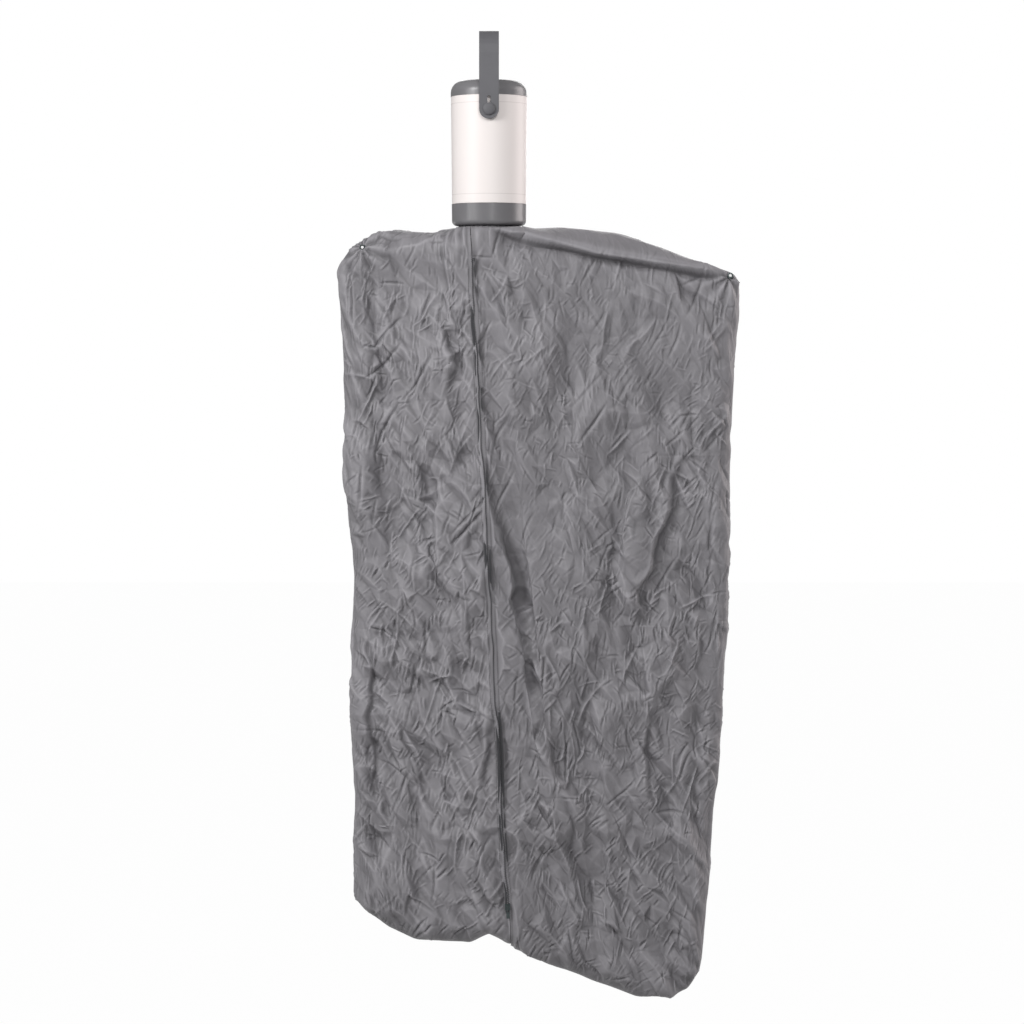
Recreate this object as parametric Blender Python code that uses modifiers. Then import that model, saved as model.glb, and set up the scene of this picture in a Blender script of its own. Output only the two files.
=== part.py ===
"""Portable clothes dryer: a small fan heater hung by a strap, blowing down into a cloth drying bag.

Metres, +Z up. The origin is the middle of the flat inner face at the top of the strap, where a
rail holds the dryer up. -Y is the front, with the zip; +X is the side of the long arm.
"""
import math

import bmesh
import bpy
from mathutils import Matrix, Vector

# Housing
UNIT_DIA = 0.110
UNIT_FOOT_DIA = 0.1062
TOP_CAP_HEIGHT = 0.0222
SHELL_LENGTH = 0.1530
BOTTOM_CAP_HEIGHT = 0.0310
SHOULDER_RADIUS = 0.0165
FOOT_RADIUS = 0.007
SHELL_WALL = 0.0022
CAP_WALL = 0.0026
SEAM_STEP = 0.0004
SPIGOT_LENGTH = 0.005
SEAT_GAP = 0.0003
CUT_OVERRUN = 0.002

# Strap handle and its pegs
STRAP_WIDTH = 0.028
STRAP_THICKNESS = 0.0030
STRAP_RISE = 0.109
STRAP_END_FLAT = 0.0004
STRAP_BEND_RADIUS = 0.030
STRAP_CLEARANCE = 0.0016
STRAP_EDGE_RADIUS = 0.0010
PIVOT_BELOW_TOP = 0.0435
PEG_RADIUS = 0.0035
PEG_CLEARANCE = 0.0003
PEG_HEAD_RADIUS = 0.0088
PEG_HEAD_HEIGHT = 0.0030
PEG_TAIL = 0.006
KEY_SLIT_WIDTH = 0.0044
KEY_SLIT_RISE = 0.0183

# Intake slots and power button in the top cap
SLOT_COUNT = 16
SLOT_WIDTH = 0.0026
SLOT_INNER_RADIUS = 0.0165
SLOT_OUTER_RADIUS = 0.0345
BUTTON_RADIUS = 0.0105
BUTTON_HEIGHT = 0.0052
BUTTON_TRAVEL = 0.0015
BUTTON_CLEARANCE = 0.0003
BUTTON_WELL_WALL = 0.0016
BUTTON_WELL_DEPTH = 0.0090
BUTTON_STEM_RADIUS = 0.0026
BUTTON_DISH_RADIUS = 0.0074
SWITCH_SIDE = 0.0062
SWITCH_HEIGHT = 0.0034
SWITCH_BODY_HEIGHT = 0.0024
SWITCH_KEY_RADIUS = 0.0018

# Air path: board, motor, impeller, heater, outlet
DUCT_RADIUS = 0.0475
DUCT_WALL = 0.0014
BOARD_RADIUS = 0.0440
BOARD_THICKNESS = 0.0016
BOARD_BORE = 0.0240
FAN_RING_HEIGHT = 0.030
FAN_RING_WALL = 0.0022
FAN_STRUTS = 4
FAN_STRUT_WIDTH = 0.0050
FAN_STRUT_HEIGHT = 0.0040
MOTOR_RADIUS = 0.0125
MOTOR_LENGTH = 0.022
MOTOR_CHAMFER = 0.0010
SHAFT_IN_MOTOR = 0.0176
SHAFT_RADIUS = 0.0016
SHAFT_CLEARANCE = 0.0003
ROTOR_HUB_RADIUS = 0.0135
ROTOR_HUB_HEIGHT = 0.0130
ROTOR_WALL = 0.0022
ROTOR_TIP_CLEARANCE = 0.0016
BLADE_COUNT = 7
BLADE_THICKNESS = 0.0016
BLADE_ROOT_CHORD = 0.0115
BLADE_TIP_CHORD = 0.0185
BLADE_SWEEP_DEG = 9.2
BLADE_STATIONS = 6
BLADE_POINTS = (-0.5, -0.17, 0.17, 0.5)
BLADE_ROOT_PITCH_DEG = 52.0
BLADE_TIP_PITCH_DEG = 24.0
HEATER_BELOW_FAN = 0.010
HEATER_WIDTH = 0.056
HEATER_DEPTH = 0.056
HEATER_HEIGHT = 0.015
HEATER_FIN_COUNT = 13
HEATER_FIN_THICKNESS = 0.0010
HEATER_BAR_THICKNESS = 0.0030
HEATER_RING_THICKNESS = 0.0025
GRILLE_THICKNESS = 0.0026
GRILLE_RINGS = 4
GRILLE_BAR = 0.0022
GRILLE_SPOKES = 6
INLET_WIDTH = 0.0190
INLET_HEIGHT = 0.0125
INLET_DEPTH = 0.0150
INLET_WALL = 0.0016
INLET_PIN_RADIUS = 0.0011
INLET_PIN_PITCH = 0.0082
INLET_ABOVE_FOOT = 0.052

# Arm hub under the unit
HUB_RADIUS = 0.0405
HUB_BORE = 0.0335
HUB_HEIGHT = 0.0135
HUB_SCREW_RADIUS = 0.0014
HUB_SCREW_HEAD_RADIUS = 0.0026
HUB_SCREWS = 4
EAR_THICKNESS = 0.0035
EAR_HEIGHT = 0.0150
EAR_PAST_PIN = 0.0050
EAR_ABOVE_PIN = 0.0030

# Folding telescopic arms
ARM_WIDTH = 0.0120
ARM_HEIGHT = 0.0110
ARM_WALL = 0.0012
ARM_NOSE = 0.0133
STAGE_OVERLAP = 0.0257
ARM_HEEL = 0.0050
STAGE_GAP = 0.0004
ROD_EXTRA = 0.0040
ARM_PIVOT_REACH = 0.0500
ARM_PIVOT_DROP = 0.0225
ARM_PIN_RADIUS = 0.0020
MIDDLE_STAGE_START = 0.0080
RUNNING_GAP = 0.0004
EYELET_INSET_LEFT = 0.0374
EYELET_INSET_RIGHT = 0.0161
EYELET_BELOW_SHOULDER_LEFT = 0.0106
EYELET_BELOW_SHOULDER_RIGHT = 0.0051
TIP_WIDTH = 0.0070
TIP_NOSE = 0.0040
TIP_DEPTH = 0.0026
TIP_WALL = 0.0030
TIP_RISE = 0.0026
STUD_RADIUS = 0.0021
EYELET_BORE_RADIUS = 0.0025
EYELET_RADIUS = 0.0042
EYELET_DEPTH = 0.0040

# Drying bag
CLOTH_THICKNESS = 0.0012
NECK_CLEARANCE = 0.0006
NECK_HEM_RADIUS = 0.0016
NECK_BELOW_CAP = 0.0030
BAG_DROP = 1.1150
BAG_HALF_DEPTH = 0.0550
BAG_SIDE_HALF_DEPTH = 0.0200
BAG_SIDE_ROUND = 0.0220
BAG_TOP_ROUND = 0.0350
BAG_FOOT_ROUND = 0.0300
BAG_REACH_LEFT = 0.2184
BAG_REACH_RIGHT = 0.3621
SEAM_HALF_GAP = 0.0006
FOLD_DEPTH = 0.0110
FOLD_START_SHARE = 0.125
RELIEF_DEPTH = 0.0060
ROOF_LIP = 0.0060
ROOF_LIP_RISE = 0.0140
ROOF_TUCK = 0.0140
ROOF_TUCK_DROP = 0.0300
ROOF_FADE = 0.0500
DEPTH_POWER = 1.15
BAG_ROWS = 14
LEFT_COLUMNS = 3
RIGHT_COLUMNS = 6
ROUND_PIECES = 3
NECK_STEP_DEG = 19.0
EDGE_PASSES = 3

# Zip
ZIP_WIDTH = 0.0062
ZIP_THICKNESS = 0.0018
ZIP_BELOW_NECK = 0.0430
ZIP_DROP_SHARE = 0.843
ZIP_TOP_OFFSET = -0.0241
ZIP_FOOT_OFFSET = 0.0272
ZIP_GAP = 0.0004
SLIDER_WIDTH = 0.0078
SLIDER_LENGTH = 0.0100
SLIDER_PLATE = 0.0017
BRIDGE_ROOM = 0.0022
BRIDGE_BAR = 0.0016
BRIDGE_SHARE = 0.8
PULL_LENGTH = 0.0170
PULL_WIDTH = 0.0048
PULL_THICKNESS = 0.0012
PULL_EYE_BAR = 0.0014

# Outlines of the bag, chosen by hand. A side edge: depth under the neck as a share of the drop,
# and place as a share of the reach on its side.
LEFT_EDGE_SHARES = [(0.061, 1.0), (0.106, 0.974), (0.186, 0.962), (0.253, 0.938), (0.343, 0.938),
                    (0.398, 0.914), (0.453, 0.895), (0.540, 0.909), (0.660, 0.910), (0.720, 0.892),
                    (0.800, 0.902), (0.872, 0.893)]
RIGHT_EDGE_SHARES = [(0.067, 0.990), (0.079, 1.0), (0.096, 0.991), (0.151, 0.981), (0.235, 0.965),
                     (0.325, 0.957), (0.429, 0.958), (0.520, 0.951), (0.584, 0.937), (0.637, 0.933),
                     (0.710, 0.918), (0.772, 0.896), (0.845, 0.884), (0.938, 0.861), (0.975, 0.842)]
# The shoulder line: place as a share of the reach, drop under the neck as a share of the drop.
LEFT_SHOULDER_SHARES = [(0.0, 0.0), (0.237, 0.0), (0.368, 0.006), (0.506, 0.0044), (0.637, 0.0035),
                        (0.776, 0.0096), (0.90, 0.0237), (0.965, 0.041), (1.0, 0.061)]
RIGHT_SHOULDER_SHARES = [(0.0, 0.0), (0.163, 0.0004), (0.285, -0.001), (0.396, 0.002), (0.508, 0.007),
                         (0.674, 0.0237), (0.785, 0.0378), (0.869, 0.0468), (0.965, 0.0575),
                         (0.988, 0.0640), (1.0, 0.0740)]
# The hem: place as a share of the reach, height over the lowest point as a share of the drop.
LEFT_HEM_SHARES = [(0.0, 0.0847), (0.124, 0.0715), (0.334, 0.0742), (0.487, 0.0754), (0.667, 0.0913),
                   (0.827, 0.115), (0.893, 0.128)]
RIGHT_HEM_SHARES = [(0.0, 0.0847), (0.072, 0.0715), (0.153, 0.0596), (0.286, 0.0385), (0.431, 0.0199),
                    (0.596, 0.0), (0.729, 0.0), (0.810, 0.012), (0.842, 0.035)]
# Main folds: place across from the zip, top, foot, lean, half width, depth. Places and widths are
# shares of the reach, heights shares of the drop, the depth a share of the deepest fold.
RIGHT_FOLD_SHARES = [(0.10, 0.05, 0.40, 0.05, 0.055, 0.6), (0.16, 0.36, 0.74, 0.10, 0.050, 1.0),
                     (0.36, 0.10, 0.46, -0.10, 0.065, 0.6), (0.58, 0.22, 0.58, -0.16, 0.055, 0.9),
                     (0.45, 0.60, 0.94, 0.06, 0.065, 0.8), (0.80, 0.44, 0.90, 0.04, 0.055, 0.7)]
LEFT_FOLD_SHARES = [(0.16, 0.04, 0.32, 0.05, 0.090, 0.6), (0.46, 0.14, 0.60, -0.08, 0.100, 0.8),
                    (0.76, 0.06, 0.38, 0.02, 0.090, 0.8), (0.60, 0.55, 0.92, 0.06, 0.110, 0.9)]
BACK_FOLD_SHARES = [(0.20, 0.08, 0.50, 0.08, 0.070, 0.8), (0.52, 0.05, 0.42, -0.10, 0.070, 0.8),
                    (0.38, 0.48, 0.90, 0.10, 0.080, 1.0), (0.74, 0.40, 0.88, -0.06, 0.070, 0.8)]

# Broad facets of the crumpled cloth: rows from the neck to the hem, columns from the left edge to
# the right one, each height a share of the deepest facet.
FRONT_RELIEF_SHARES = [
    (0.8, 0.1, -0.3, 0.2, -0.8, -0.4, 0.3, -0.8, -0.8, 1.0),
    (-0.1, 0.2, -0.3, 0.3, 0.9, 0.1, -0.4, 0.4, -0.1, -0.8),
    (-0.2, -0.5, 0.9, -0.7, -0.1, 0.9, -0.6, 0.2, 0.9, -0.8),
    (0.0, -0.1, -0.3, -0.3, 0.1, -0.5, 0.1, 0.2, -0.7, -0.1),
    (-0.3, 0.1, 0.2, -0.5, 0.1, 0.5, -0.3, -0.6, -0.1, 0.2),
    (0.0, 0.1, -0.4, 0.9, -0.4, 0.2, 0.5, -0.6, 0.0, 0.6),
    (-0.1, -0.3, 0.1, -0.1, -0.7, 0.7, -0.1, -0.4, 0.8, -0.6),
    (0.3, 0.1, -0.4, 0.7, -0.1, 0.2, 1.0, 0.0, 0.1, 0.1),
    (0.0, 0.8, -0.4, -0.2, 0.4, 0.2, -0.5, 0.3, -0.8, -0.4),
    (0.6, 0.2, 0.2, 0.3, 0.3, -0.6, 0.8, -0.6, -0.4, 0.0),
    (0.1, 0.8, -0.7, -0.2, 0.2, -0.3, -0.2, 0.0, 0.1, -0.5),
    (-0.3, -0.8, -0.1, -0.6, -0.4, 0.9, 0.2, -0.3, 0.4, -0.1),
    (0.1, 0.3, 0.1, -0.4, 0.6, 0.0, -0.3, 0.7, -0.1, -0.8),
    (-0.8, -0.7, 0.1, -0.6, -0.8, 0.1, -0.2, 0.2, 0.3, -0.4),
    (0.4, -0.1, 0.0, 0.9, -0.4, 0.0, 0.3, 0.1, -0.6, 0.9)]
BACK_RELIEF_SHARES = [
    (0.9, -0.5, -0.2, 0.8, 0.0, 0.2, 0.8, 0.2, -0.8, 0.4),
    (-0.3, 0.0, -0.8, 0.1, 1.0, 0.0, -0.5, 0.7, -0.5, 0.0),
    (-0.5, 0.0, 1.0, 0.3, 0.2, 0.9, 0.0, -0.2, 0.9, -0.7),
    (-0.4, 0.6, -0.3, 0.1, 0.1, -0.8, -0.7, 1.0, -0.7, -0.6),
    (-0.4, -0.1, 0.8, -0.7, 0.2, 0.7, -0.5, -0.6, 0.6, -0.2),
    (0.2, -0.6, 0.0, 0.6, 0.1, -0.6, 0.7, -0.7, -0.8, 0.1),
    (0.0, -0.2, 0.6, -0.2, -0.1, 0.3, 0.0, -0.8, 0.3, -0.8),
    (0.0, 0.2, -0.2, 0.8, -0.2, -0.2, 0.8, -0.1, -0.3, 0.5),
    (-0.2, 0.3, -0.1, -0.4, 0.6, -0.3, 0.0, 0.7, -0.8, 0.0),
    (0.9, -0.5, 0.0, 0.8, -0.3, -0.7, 0.7, 0.1, -0.5, 0.1),
    (0.0, 0.5, -0.8, -0.6, 0.1, -0.2, -0.2, 0.5, -0.4, -0.4),
    (-0.3, -0.2, 0.5, 0.0, 0.3, 0.7, -0.3, 0.3, 0.0, 0.2),
    (-0.3, 0.4, 0.1, -0.2, 0.8, -0.4, -0.2, 0.6, -0.6, 0.0),
    (-0.6, -0.7, 0.2, 0.1, -0.3, -0.1, -0.6, -0.2, 0.0, -0.5),
    (0.1, -0.1, -0.7, 0.3, -0.3, 0.2, 0.3, -0.7, -0.4, 0.3)]
# Where the roof cloth laps over the front: place as a share of the right reach, drop as a share.
ROOF_LINE_SHARES = [(0.0, -0.003), (0.083, 0.008), (0.201, 0.017), (0.312, 0.025), (0.422, 0.034),
                    (0.533, 0.039), (0.643, 0.045), (0.754, 0.052), (0.865, 0.055), (0.956, 0.059)]
LEFT_FORM = (LEFT_FOLD_SHARES, FRONT_RELIEF_SHARES, True)
RIGHT_FORM = (RIGHT_FOLD_SHARES, FRONT_RELIEF_SHARES, True)
BACK_FORM = (BACK_FOLD_SHARES, BACK_RELIEF_SHARES, False)

# Levels and lengths worked out from the sizes above
ZIP_DROP = BAG_DROP * ZIP_DROP_SHARE
PIVOT_Z = -STRAP_RISE
UNIT_TOP_Z = PIVOT_Z + PIVOT_BELOW_TOP
SHELL_TOP_Z = UNIT_TOP_Z - TOP_CAP_HEIGHT
SHELL_FOOT_Z = SHELL_TOP_Z - SHELL_LENGTH
UNIT_FOOT_Z = SHELL_FOOT_Z - BOTTOM_CAP_HEIGHT
UNIT_RADIUS = UNIT_DIA / 2
FOOT_R = UNIT_FOOT_DIA / 2
NECK_Z = UNIT_FOOT_Z - NECK_BELOW_CAP
NECK_RADIUS = HUB_RADIUS + 2 * NECK_HEM_RADIUS + 3 * NECK_CLEARANCE
ARM_PIVOT_Z = UNIT_FOOT_Z - ARM_PIVOT_DROP
STEM_FOOT_Z = UNIT_TOP_Z - BUTTON_WELL_DEPTH - BUTTON_TRAVEL
SWITCH_TOP_Z = STEM_FOOT_Z - BUTTON_TRAVEL - SEAT_GAP
BOARD_TOP_Z = SWITCH_TOP_Z - SWITCH_HEIGHT
EYELET_REACH_LEFT = BAG_REACH_LEFT - EYELET_INSET_LEFT
EYELET_REACH_RIGHT = BAG_REACH_RIGHT - EYELET_INSET_RIGHT
FAN_TOP_Z = BOARD_TOP_Z - BOARD_THICKNESS - SEAT_GAP
MOTOR_FOOT_Z = FAN_TOP_Z - FAN_STRUT_HEIGHT - MOTOR_LENGTH
ROTOR_TOP_Z = MOTOR_FOOT_Z - 3 * RUNNING_GAP
FAN_FOOT_Z = FAN_TOP_Z - FAN_RING_HEIGHT - MOTOR_LENGTH
HEATER_TOP_Z = FAN_FOOT_Z - HEATER_BELOW_FAN

# Fineness of round shapes
ROUND_STEPS = 40
MEDIUM_STEPS = 30
SMALL_STEPS = 16
TINY_STEPS = 12
MERGE_DISTANCE = 0.00002

COLLECTION_NAME = "portable_clothes_dryer"


def clear_scene():
    for item in list(bpy.data.objects):
        bpy.data.objects.remove(item, do_unlink=True)


def new_collection(name):
    group = bpy.data.collections.new(name)
    bpy.context.scene.collection.children.link(group)
    return group


def plain_material(name, colour, roughness, metallic=0.0):
    material = bpy.data.materials.new(name)
    material.use_nodes = True
    shader = material.node_tree.nodes["Principled BSDF"]
    shader.inputs["Base Color"].default_value = (*colour, 1.0)
    shader.inputs["Roughness"].default_value = roughness
    shader.inputs["Metallic"].default_value = metallic
    return material


def make_materials():
    return {
        "shell": plain_material("warm_white_gloss", (0.90, 0.85, 0.82), 0.22),
        "cap": plain_material("grey_satin_plastic", (0.16, 0.16, 0.17), 0.42),
        "strap": plain_material("grey_matte_strap", (0.165, 0.165, 0.175), 0.60),
        "dark": plain_material("dark_plastic", (0.05, 0.05, 0.055), 0.55),
        "cloth": plain_material("grey_nylon", (0.19, 0.185, 0.20), 0.62),
        "steel": plain_material("bright_steel", (0.62, 0.62, 0.60), 0.30, 1.0),
        "ring": plain_material("dark_metal", (0.10, 0.11, 0.11), 0.35, 1.0),
        "board": plain_material("green_board", (0.03, 0.16, 0.07), 0.50),
        "heater": plain_material("heater_aluminium", (0.70, 0.70, 0.69), 0.38, 1.0),
        "tan": plain_material("heat_proof_plastic", (0.28, 0.25, 0.21), 0.60),
    }


def add_object(name, mesh, group, material=None):
    item = bpy.data.objects.new(name, mesh)
    group.objects.link(item)
    if material is not None:
        mesh.materials.append(material)
    return item


def finish_bmesh(shape, name, group, material=None):
    bmesh.ops.recalc_face_normals(shape, faces=shape.faces[:])
    mesh = bpy.data.meshes.new(name)
    shape.to_mesh(mesh)
    shape.free()
    return add_object(name, mesh, group, material)


def smooth(item, angle_deg=35.0):
    item.data.shade_smooth()
    item.data.set_sharp_from_angle(angle=math.radians(angle_deg))
    return item


def turned(name, outline, group, material=None, steps=ROUND_STEPS):
    """A ring or solid turned about Z; the outline runs down its outer side, then back up inside."""
    shape = bmesh.new()
    points = [shape.verts.new((radius, 0.0, height)) for radius, height in outline]
    closed = outline[0][0] > 0 or outline[-1][0] > 0
    for first, second in zip(points, points[1:] + points[:1] if closed else points[1:]):
        shape.edges.new((first, second))
    mesh = bpy.data.meshes.new(name)
    shape.to_mesh(mesh)
    shape.free()
    item = add_object(name, mesh, group, material)
    screw = item.modifiers.new("turn", "SCREW")
    screw.steps = steps
    screw.render_steps = steps
    screw.use_merge_vertices = True
    screw.merge_threshold = MERGE_DISTANCE
    screw.use_smooth_shade = True
    return apply_modifiers(item)


def apply_modifiers(item):
    """Turns the object's modifiers into its mesh, so that it can be cut or be a cutter."""
    graph = bpy.context.evaluated_depsgraph_get()
    mesh = bpy.data.meshes.new_from_object(item.evaluated_get(graph), depsgraph=graph)
    item.modifiers.clear()
    item.data = mesh
    return item


def arc(centre, radius, start_deg, end_deg, pieces):
    """Points of an arc from one angle to another, both ends included."""
    points = []
    for index in range(pieces + 1):
        angle = math.radians(start_deg + (end_deg - start_deg) * index / pieces)
        points.append((centre[0] + radius * math.cos(angle), centre[1] + radius * math.sin(angle)))
    return points


def cylinder(name, radius, length, centre, axis, group, material=None, steps=SMALL_STEPS):
    shape = bmesh.new()
    bmesh.ops.create_cone(shape, cap_ends=True, segments=steps, radius1=radius, radius2=radius,
                          depth=length)
    turn = Vector((0, 0, 1)).rotation_difference(Vector(axis)).to_matrix().to_4x4()
    bmesh.ops.transform(shape, matrix=Matrix.Translation(centre) @ turn, verts=shape.verts[:])
    return smooth(finish_bmesh(shape, name, group, material))


def box(name, size, centre, group, material=None, turn=None):
    shape = bmesh.new()
    bmesh.ops.create_cube(shape, size=1.0)
    matrix = Matrix.Translation(centre) @ (turn or Matrix.Identity(4)) @ Matrix.Diagonal((*size, 1.0))
    bmesh.ops.transform(shape, matrix=matrix, verts=shape.verts[:])
    return finish_bmesh(shape, name, group, material)


def boolean(item, other, operation):
    """Cuts, joins or keeps the common part, at once; the other shape is a guide afterwards."""
    other.hide_render = True
    other.display_type = "WIRE"
    step = item.modifiers.new(operation.lower(), "BOOLEAN")
    step.operation = operation
    step.solver = "EXACT"
    step.object = other
    return apply_modifiers(item)


def join_shapes(item, others):
    for other in others:
        boolean(item, other, "UNION")
    return item


def cut_shapes(item, others):
    for other in others:
        boolean(item, other, "DIFFERENCE")
    return item


def bevel(item, width, segments=1, angle_deg=40.0):
    step = item.modifiers.new("round", "BEVEL")
    step.width = width
    step.segments = segments
    step.limit_method = "ANGLE"
    step.angle_limit = math.radians(angle_deg)
    return apply_modifiers(item)


def slope_radius(height):
    """Outer radius of the housing at a height: it narrows a little towards its foot."""
    share = (UNIT_TOP_Z - height) / (UNIT_TOP_Z - UNIT_FOOT_Z)
    return UNIT_RADIUS + (FOOT_R - UNIT_RADIUS) * share


def make_top_cap(parts, cutters, look):
    rim_radius = slope_radius(SHELL_TOP_Z)
    corner = (rim_radius - SHOULDER_RADIUS, UNIT_TOP_Z - SHOULDER_RADIUS)
    outer = arc(corner, SHOULDER_RADIUS, 90, 0, 6)
    inner = arc(corner, SHOULDER_RADIUS - CAP_WALL, 0, 90, 3)
    spigot = rim_radius - SHELL_WALL - SEAT_GAP
    well = BUTTON_RADIUS + BUTTON_CLEARANCE
    well_foot = UNIT_TOP_Z - BUTTON_WELL_DEPTH
    outline = [(well, UNIT_TOP_Z)] + outer
    outline += [(rim_radius, SHELL_TOP_Z), (spigot, SHELL_TOP_Z), (spigot, SHELL_TOP_Z - SPIGOT_LENGTH)]
    outline += [(rim_radius - SHELL_WALL - CAP_WALL, SHELL_TOP_Z - SPIGOT_LENGTH)]
    outline += [(rim_radius - SHELL_WALL - CAP_WALL, SHELL_TOP_Z)] + inner
    outline += [(well + BUTTON_WELL_WALL, UNIT_TOP_Z - CAP_WALL), (well + BUTTON_WELL_WALL, well_foot)]
    outline += [(BUTTON_STEM_RADIUS + BUTTON_CLEARANCE, well_foot)]
    outline += [(BUTTON_STEM_RADIUS + BUTTON_CLEARANCE, well_foot + BUTTON_WELL_WALL)]
    outline += [(well, well_foot + BUTTON_WELL_WALL)]
    cap = turned("top_cap", outline, parts, look["cap"])
    length = SLOT_OUTER_RADIUS - SLOT_INNER_RADIUS
    for index in range(SLOT_COUNT):
        angle = 2 * math.pi * (index + 0.5) / SLOT_COUNT
        turn = Matrix.Rotation(angle, 4, "Z")
        centre = turn @ Vector((SLOT_INNER_RADIUS + length / 2, 0, UNIT_TOP_Z - CAP_WALL / 2))
        size = (length, SLOT_WIDTH, CAP_WALL + 2 * CUT_OVERRUN)
        boolean(cap, box("slot_cutter", size, centre, cutters, turn=turn), "DIFFERENCE")
    return smooth(cap)


def make_shell(parts, cutters, look):
    top = slope_radius(SHELL_TOP_Z) - SEAM_STEP
    foot = slope_radius(SHELL_FOOT_Z) - SEAM_STEP
    high = SHELL_TOP_Z - SEAT_GAP
    low = SHELL_FOOT_Z + SEAT_GAP
    wall = SHELL_WALL - SEAM_STEP
    outline = [(top, high), (foot, low), (foot - wall, low), (top - wall, high)]
    shell = turned("housing_shell", outline, parts, look["shell"])
    hole = PEG_RADIUS + PEG_CLEARANCE
    cutter = cylinder("peg_hole_cutter", hole, 2 * UNIT_DIA, (0, 0, PIVOT_Z), (0, 1, 0), cutters)
    inlet_z = UNIT_FOOT_Z + INLET_ABOVE_FOOT
    size = (INLET_WIDTH + 2 * SEAT_GAP, UNIT_RADIUS, INLET_HEIGHT + 2 * SEAT_GAP)
    window = box("inlet_cutter", size, (0, UNIT_RADIUS, inlet_z), cutters)
    return smooth(cut_shapes(shell, [cutter, window]))


def make_bottom_cap(parts, cutters, look):
    rim = slope_radius(SHELL_FOOT_Z)
    corner = (FOOT_R - FOOT_RADIUS, UNIT_FOOT_Z + FOOT_RADIUS)
    spigot = rim - SHELL_WALL - SEAT_GAP
    bore = HUB_BORE
    outline = [(spigot, SHELL_FOOT_Z + SPIGOT_LENGTH), (spigot, SHELL_FOOT_Z), (rim, SHELL_FOOT_Z)]
    outline += arc(corner, FOOT_RADIUS, 0, -90, 4)
    outline += [(bore, UNIT_FOOT_Z), (bore, UNIT_FOOT_Z + CAP_WALL)]
    outline += [(DUCT_RADIUS - DUCT_WALL, UNIT_FOOT_Z + CAP_WALL)]
    outline += [(DUCT_RADIUS - DUCT_WALL, SHELL_FOOT_Z + SPIGOT_LENGTH)]
    return smooth(turned("bottom_cap", outline, parts, look["cap"]))


def make_strap(parts, cutters, look):
    """A flat strip bent to a U, with round ends, and a keyhole slit over each peg."""
    leg_y = UNIT_RADIUS + STRAP_CLEARANCE + STRAP_THICKNESS
    top_z = STRAP_THICKNESS
    outer_bend = STRAP_BEND_RADIUS + STRAP_THICKNESS
    end_radius = STRAP_WIDTH / 2
    path = []
    for point in arc((-leg_y, PIVOT_Z), end_radius, -90, 0, 8):
        path.append((-leg_y, point[1]))
    path += [(-leg_y, (PIVOT_Z + top_z - outer_bend) / 2)]
    path += arc((-leg_y + outer_bend, top_z - outer_bend), outer_bend, 180, 90, 8)
    path += [(-y, z) for y, z in reversed(path)]
    shape = bmesh.new()
    rows = []
    for y, z in path:
        below = max(0.0, PIVOT_Z - z)
        half = math.sqrt(max(end_radius ** 2 - below ** 2, STRAP_END_FLAT ** 2))
        rows.append([shape.verts.new((half * side, y, z)) for side in (-1, 0, 1)])
    for row, following in zip(rows, rows[1:]):
        for index in range(2):
            shape.faces.new((row[index], row[index + 1], following[index + 1], following[index]))
    strap = finish_bmesh(shape, "handle_strap", parts, look["strap"])
    thick = strap.modifiers.new("thickness", "SOLIDIFY")
    thick.thickness = STRAP_THICKNESS
    thick.offset = strap_offset(strap)
    thick.use_even_offset = True
    apply_modifiers(strap)
    bevel(strap, STRAP_EDGE_RADIUS, 2, 50.0)
    hole = PEG_RADIUS + PEG_CLEARANCE
    cutter = cylinder("strap_hole_cutter", hole, 4 * UNIT_RADIUS, (0, 0, PIVOT_Z), (0, 1, 0), cutters)
    size = (KEY_SLIT_WIDTH, 4 * UNIT_RADIUS, KEY_SLIT_RISE)
    slit = box("strap_slit_cutter", size, (0, 0, PIVOT_Z + KEY_SLIT_RISE / 2), cutters)
    return smooth(cut_shapes(strap, [cutter, slit]))


def strap_offset(strap):
    """The strip is drawn on its outer face, so it thickens against the side that it faces."""
    top = max(strap.data.polygons, key=lambda face: face.center.z)
    return -1.0 if top.normal.z > 0 else 1.0


def make_peg(name, side, parts, cutters, look):
    """A mushroom peg: its neck passes the strap, its domed head holds the strap on."""
    seat = UNIT_RADIUS + 2 * STRAP_CLEARANCE + STRAP_THICKNESS
    tail = UNIT_RADIUS - PEG_TAIL
    neck = PEG_RADIUS
    flange = PEG_RADIUS + STRAP_CLEARANCE
    flange_in = slope_radius(PIVOT_Z) + SEAT_GAP
    flange_out = UNIT_RADIUS + STRAP_CLEARANCE - SEAT_GAP
    outline = [(0.0, seat + PEG_HEAD_HEIGHT)]
    for x, y in arc((0, 0), 1.0, 75, 0, 5):
        outline.append((PEG_HEAD_RADIUS * x, seat + PEG_HEAD_HEIGHT * y))
    outline += [(neck, seat), (neck, flange_out), (flange, flange_out), (flange, flange_in)]
    outline += [(neck, flange_in), (neck, tail), (0.0, tail)]
    peg = turned(name, outline, parts, look["dark"], SMALL_STEPS)
    turn = Matrix.Translation((0, 0, PIVOT_Z)) @ Matrix.Rotation(math.radians(90.0 * side), 4, "X")
    peg.data.transform(turn)
    return smooth(peg)


def make_button(parts, cutters, look):
    top = UNIT_TOP_Z
    foot = top - BUTTON_HEIGHT
    outline = [(0.0, top - SEAM_STEP), (BUTTON_DISH_RADIUS, top - SEAM_STEP)]
    outline += [(BUTTON_RADIUS - SEAM_STEP, top)]
    outline += [(BUTTON_RADIUS, top - SEAM_STEP), (BUTTON_RADIUS, foot), (BUTTON_STEM_RADIUS, foot)]
    outline += [(BUTTON_STEM_RADIUS, STEM_FOOT_Z), (0.0, STEM_FOOT_Z)]
    return smooth(turned("power_button", outline, parts, look["cap"], MEDIUM_STEPS))


def ring_outline(outer, inner, top, foot):
    return [(outer, top), (outer, foot), (inner, foot), (inner, top)]


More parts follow.
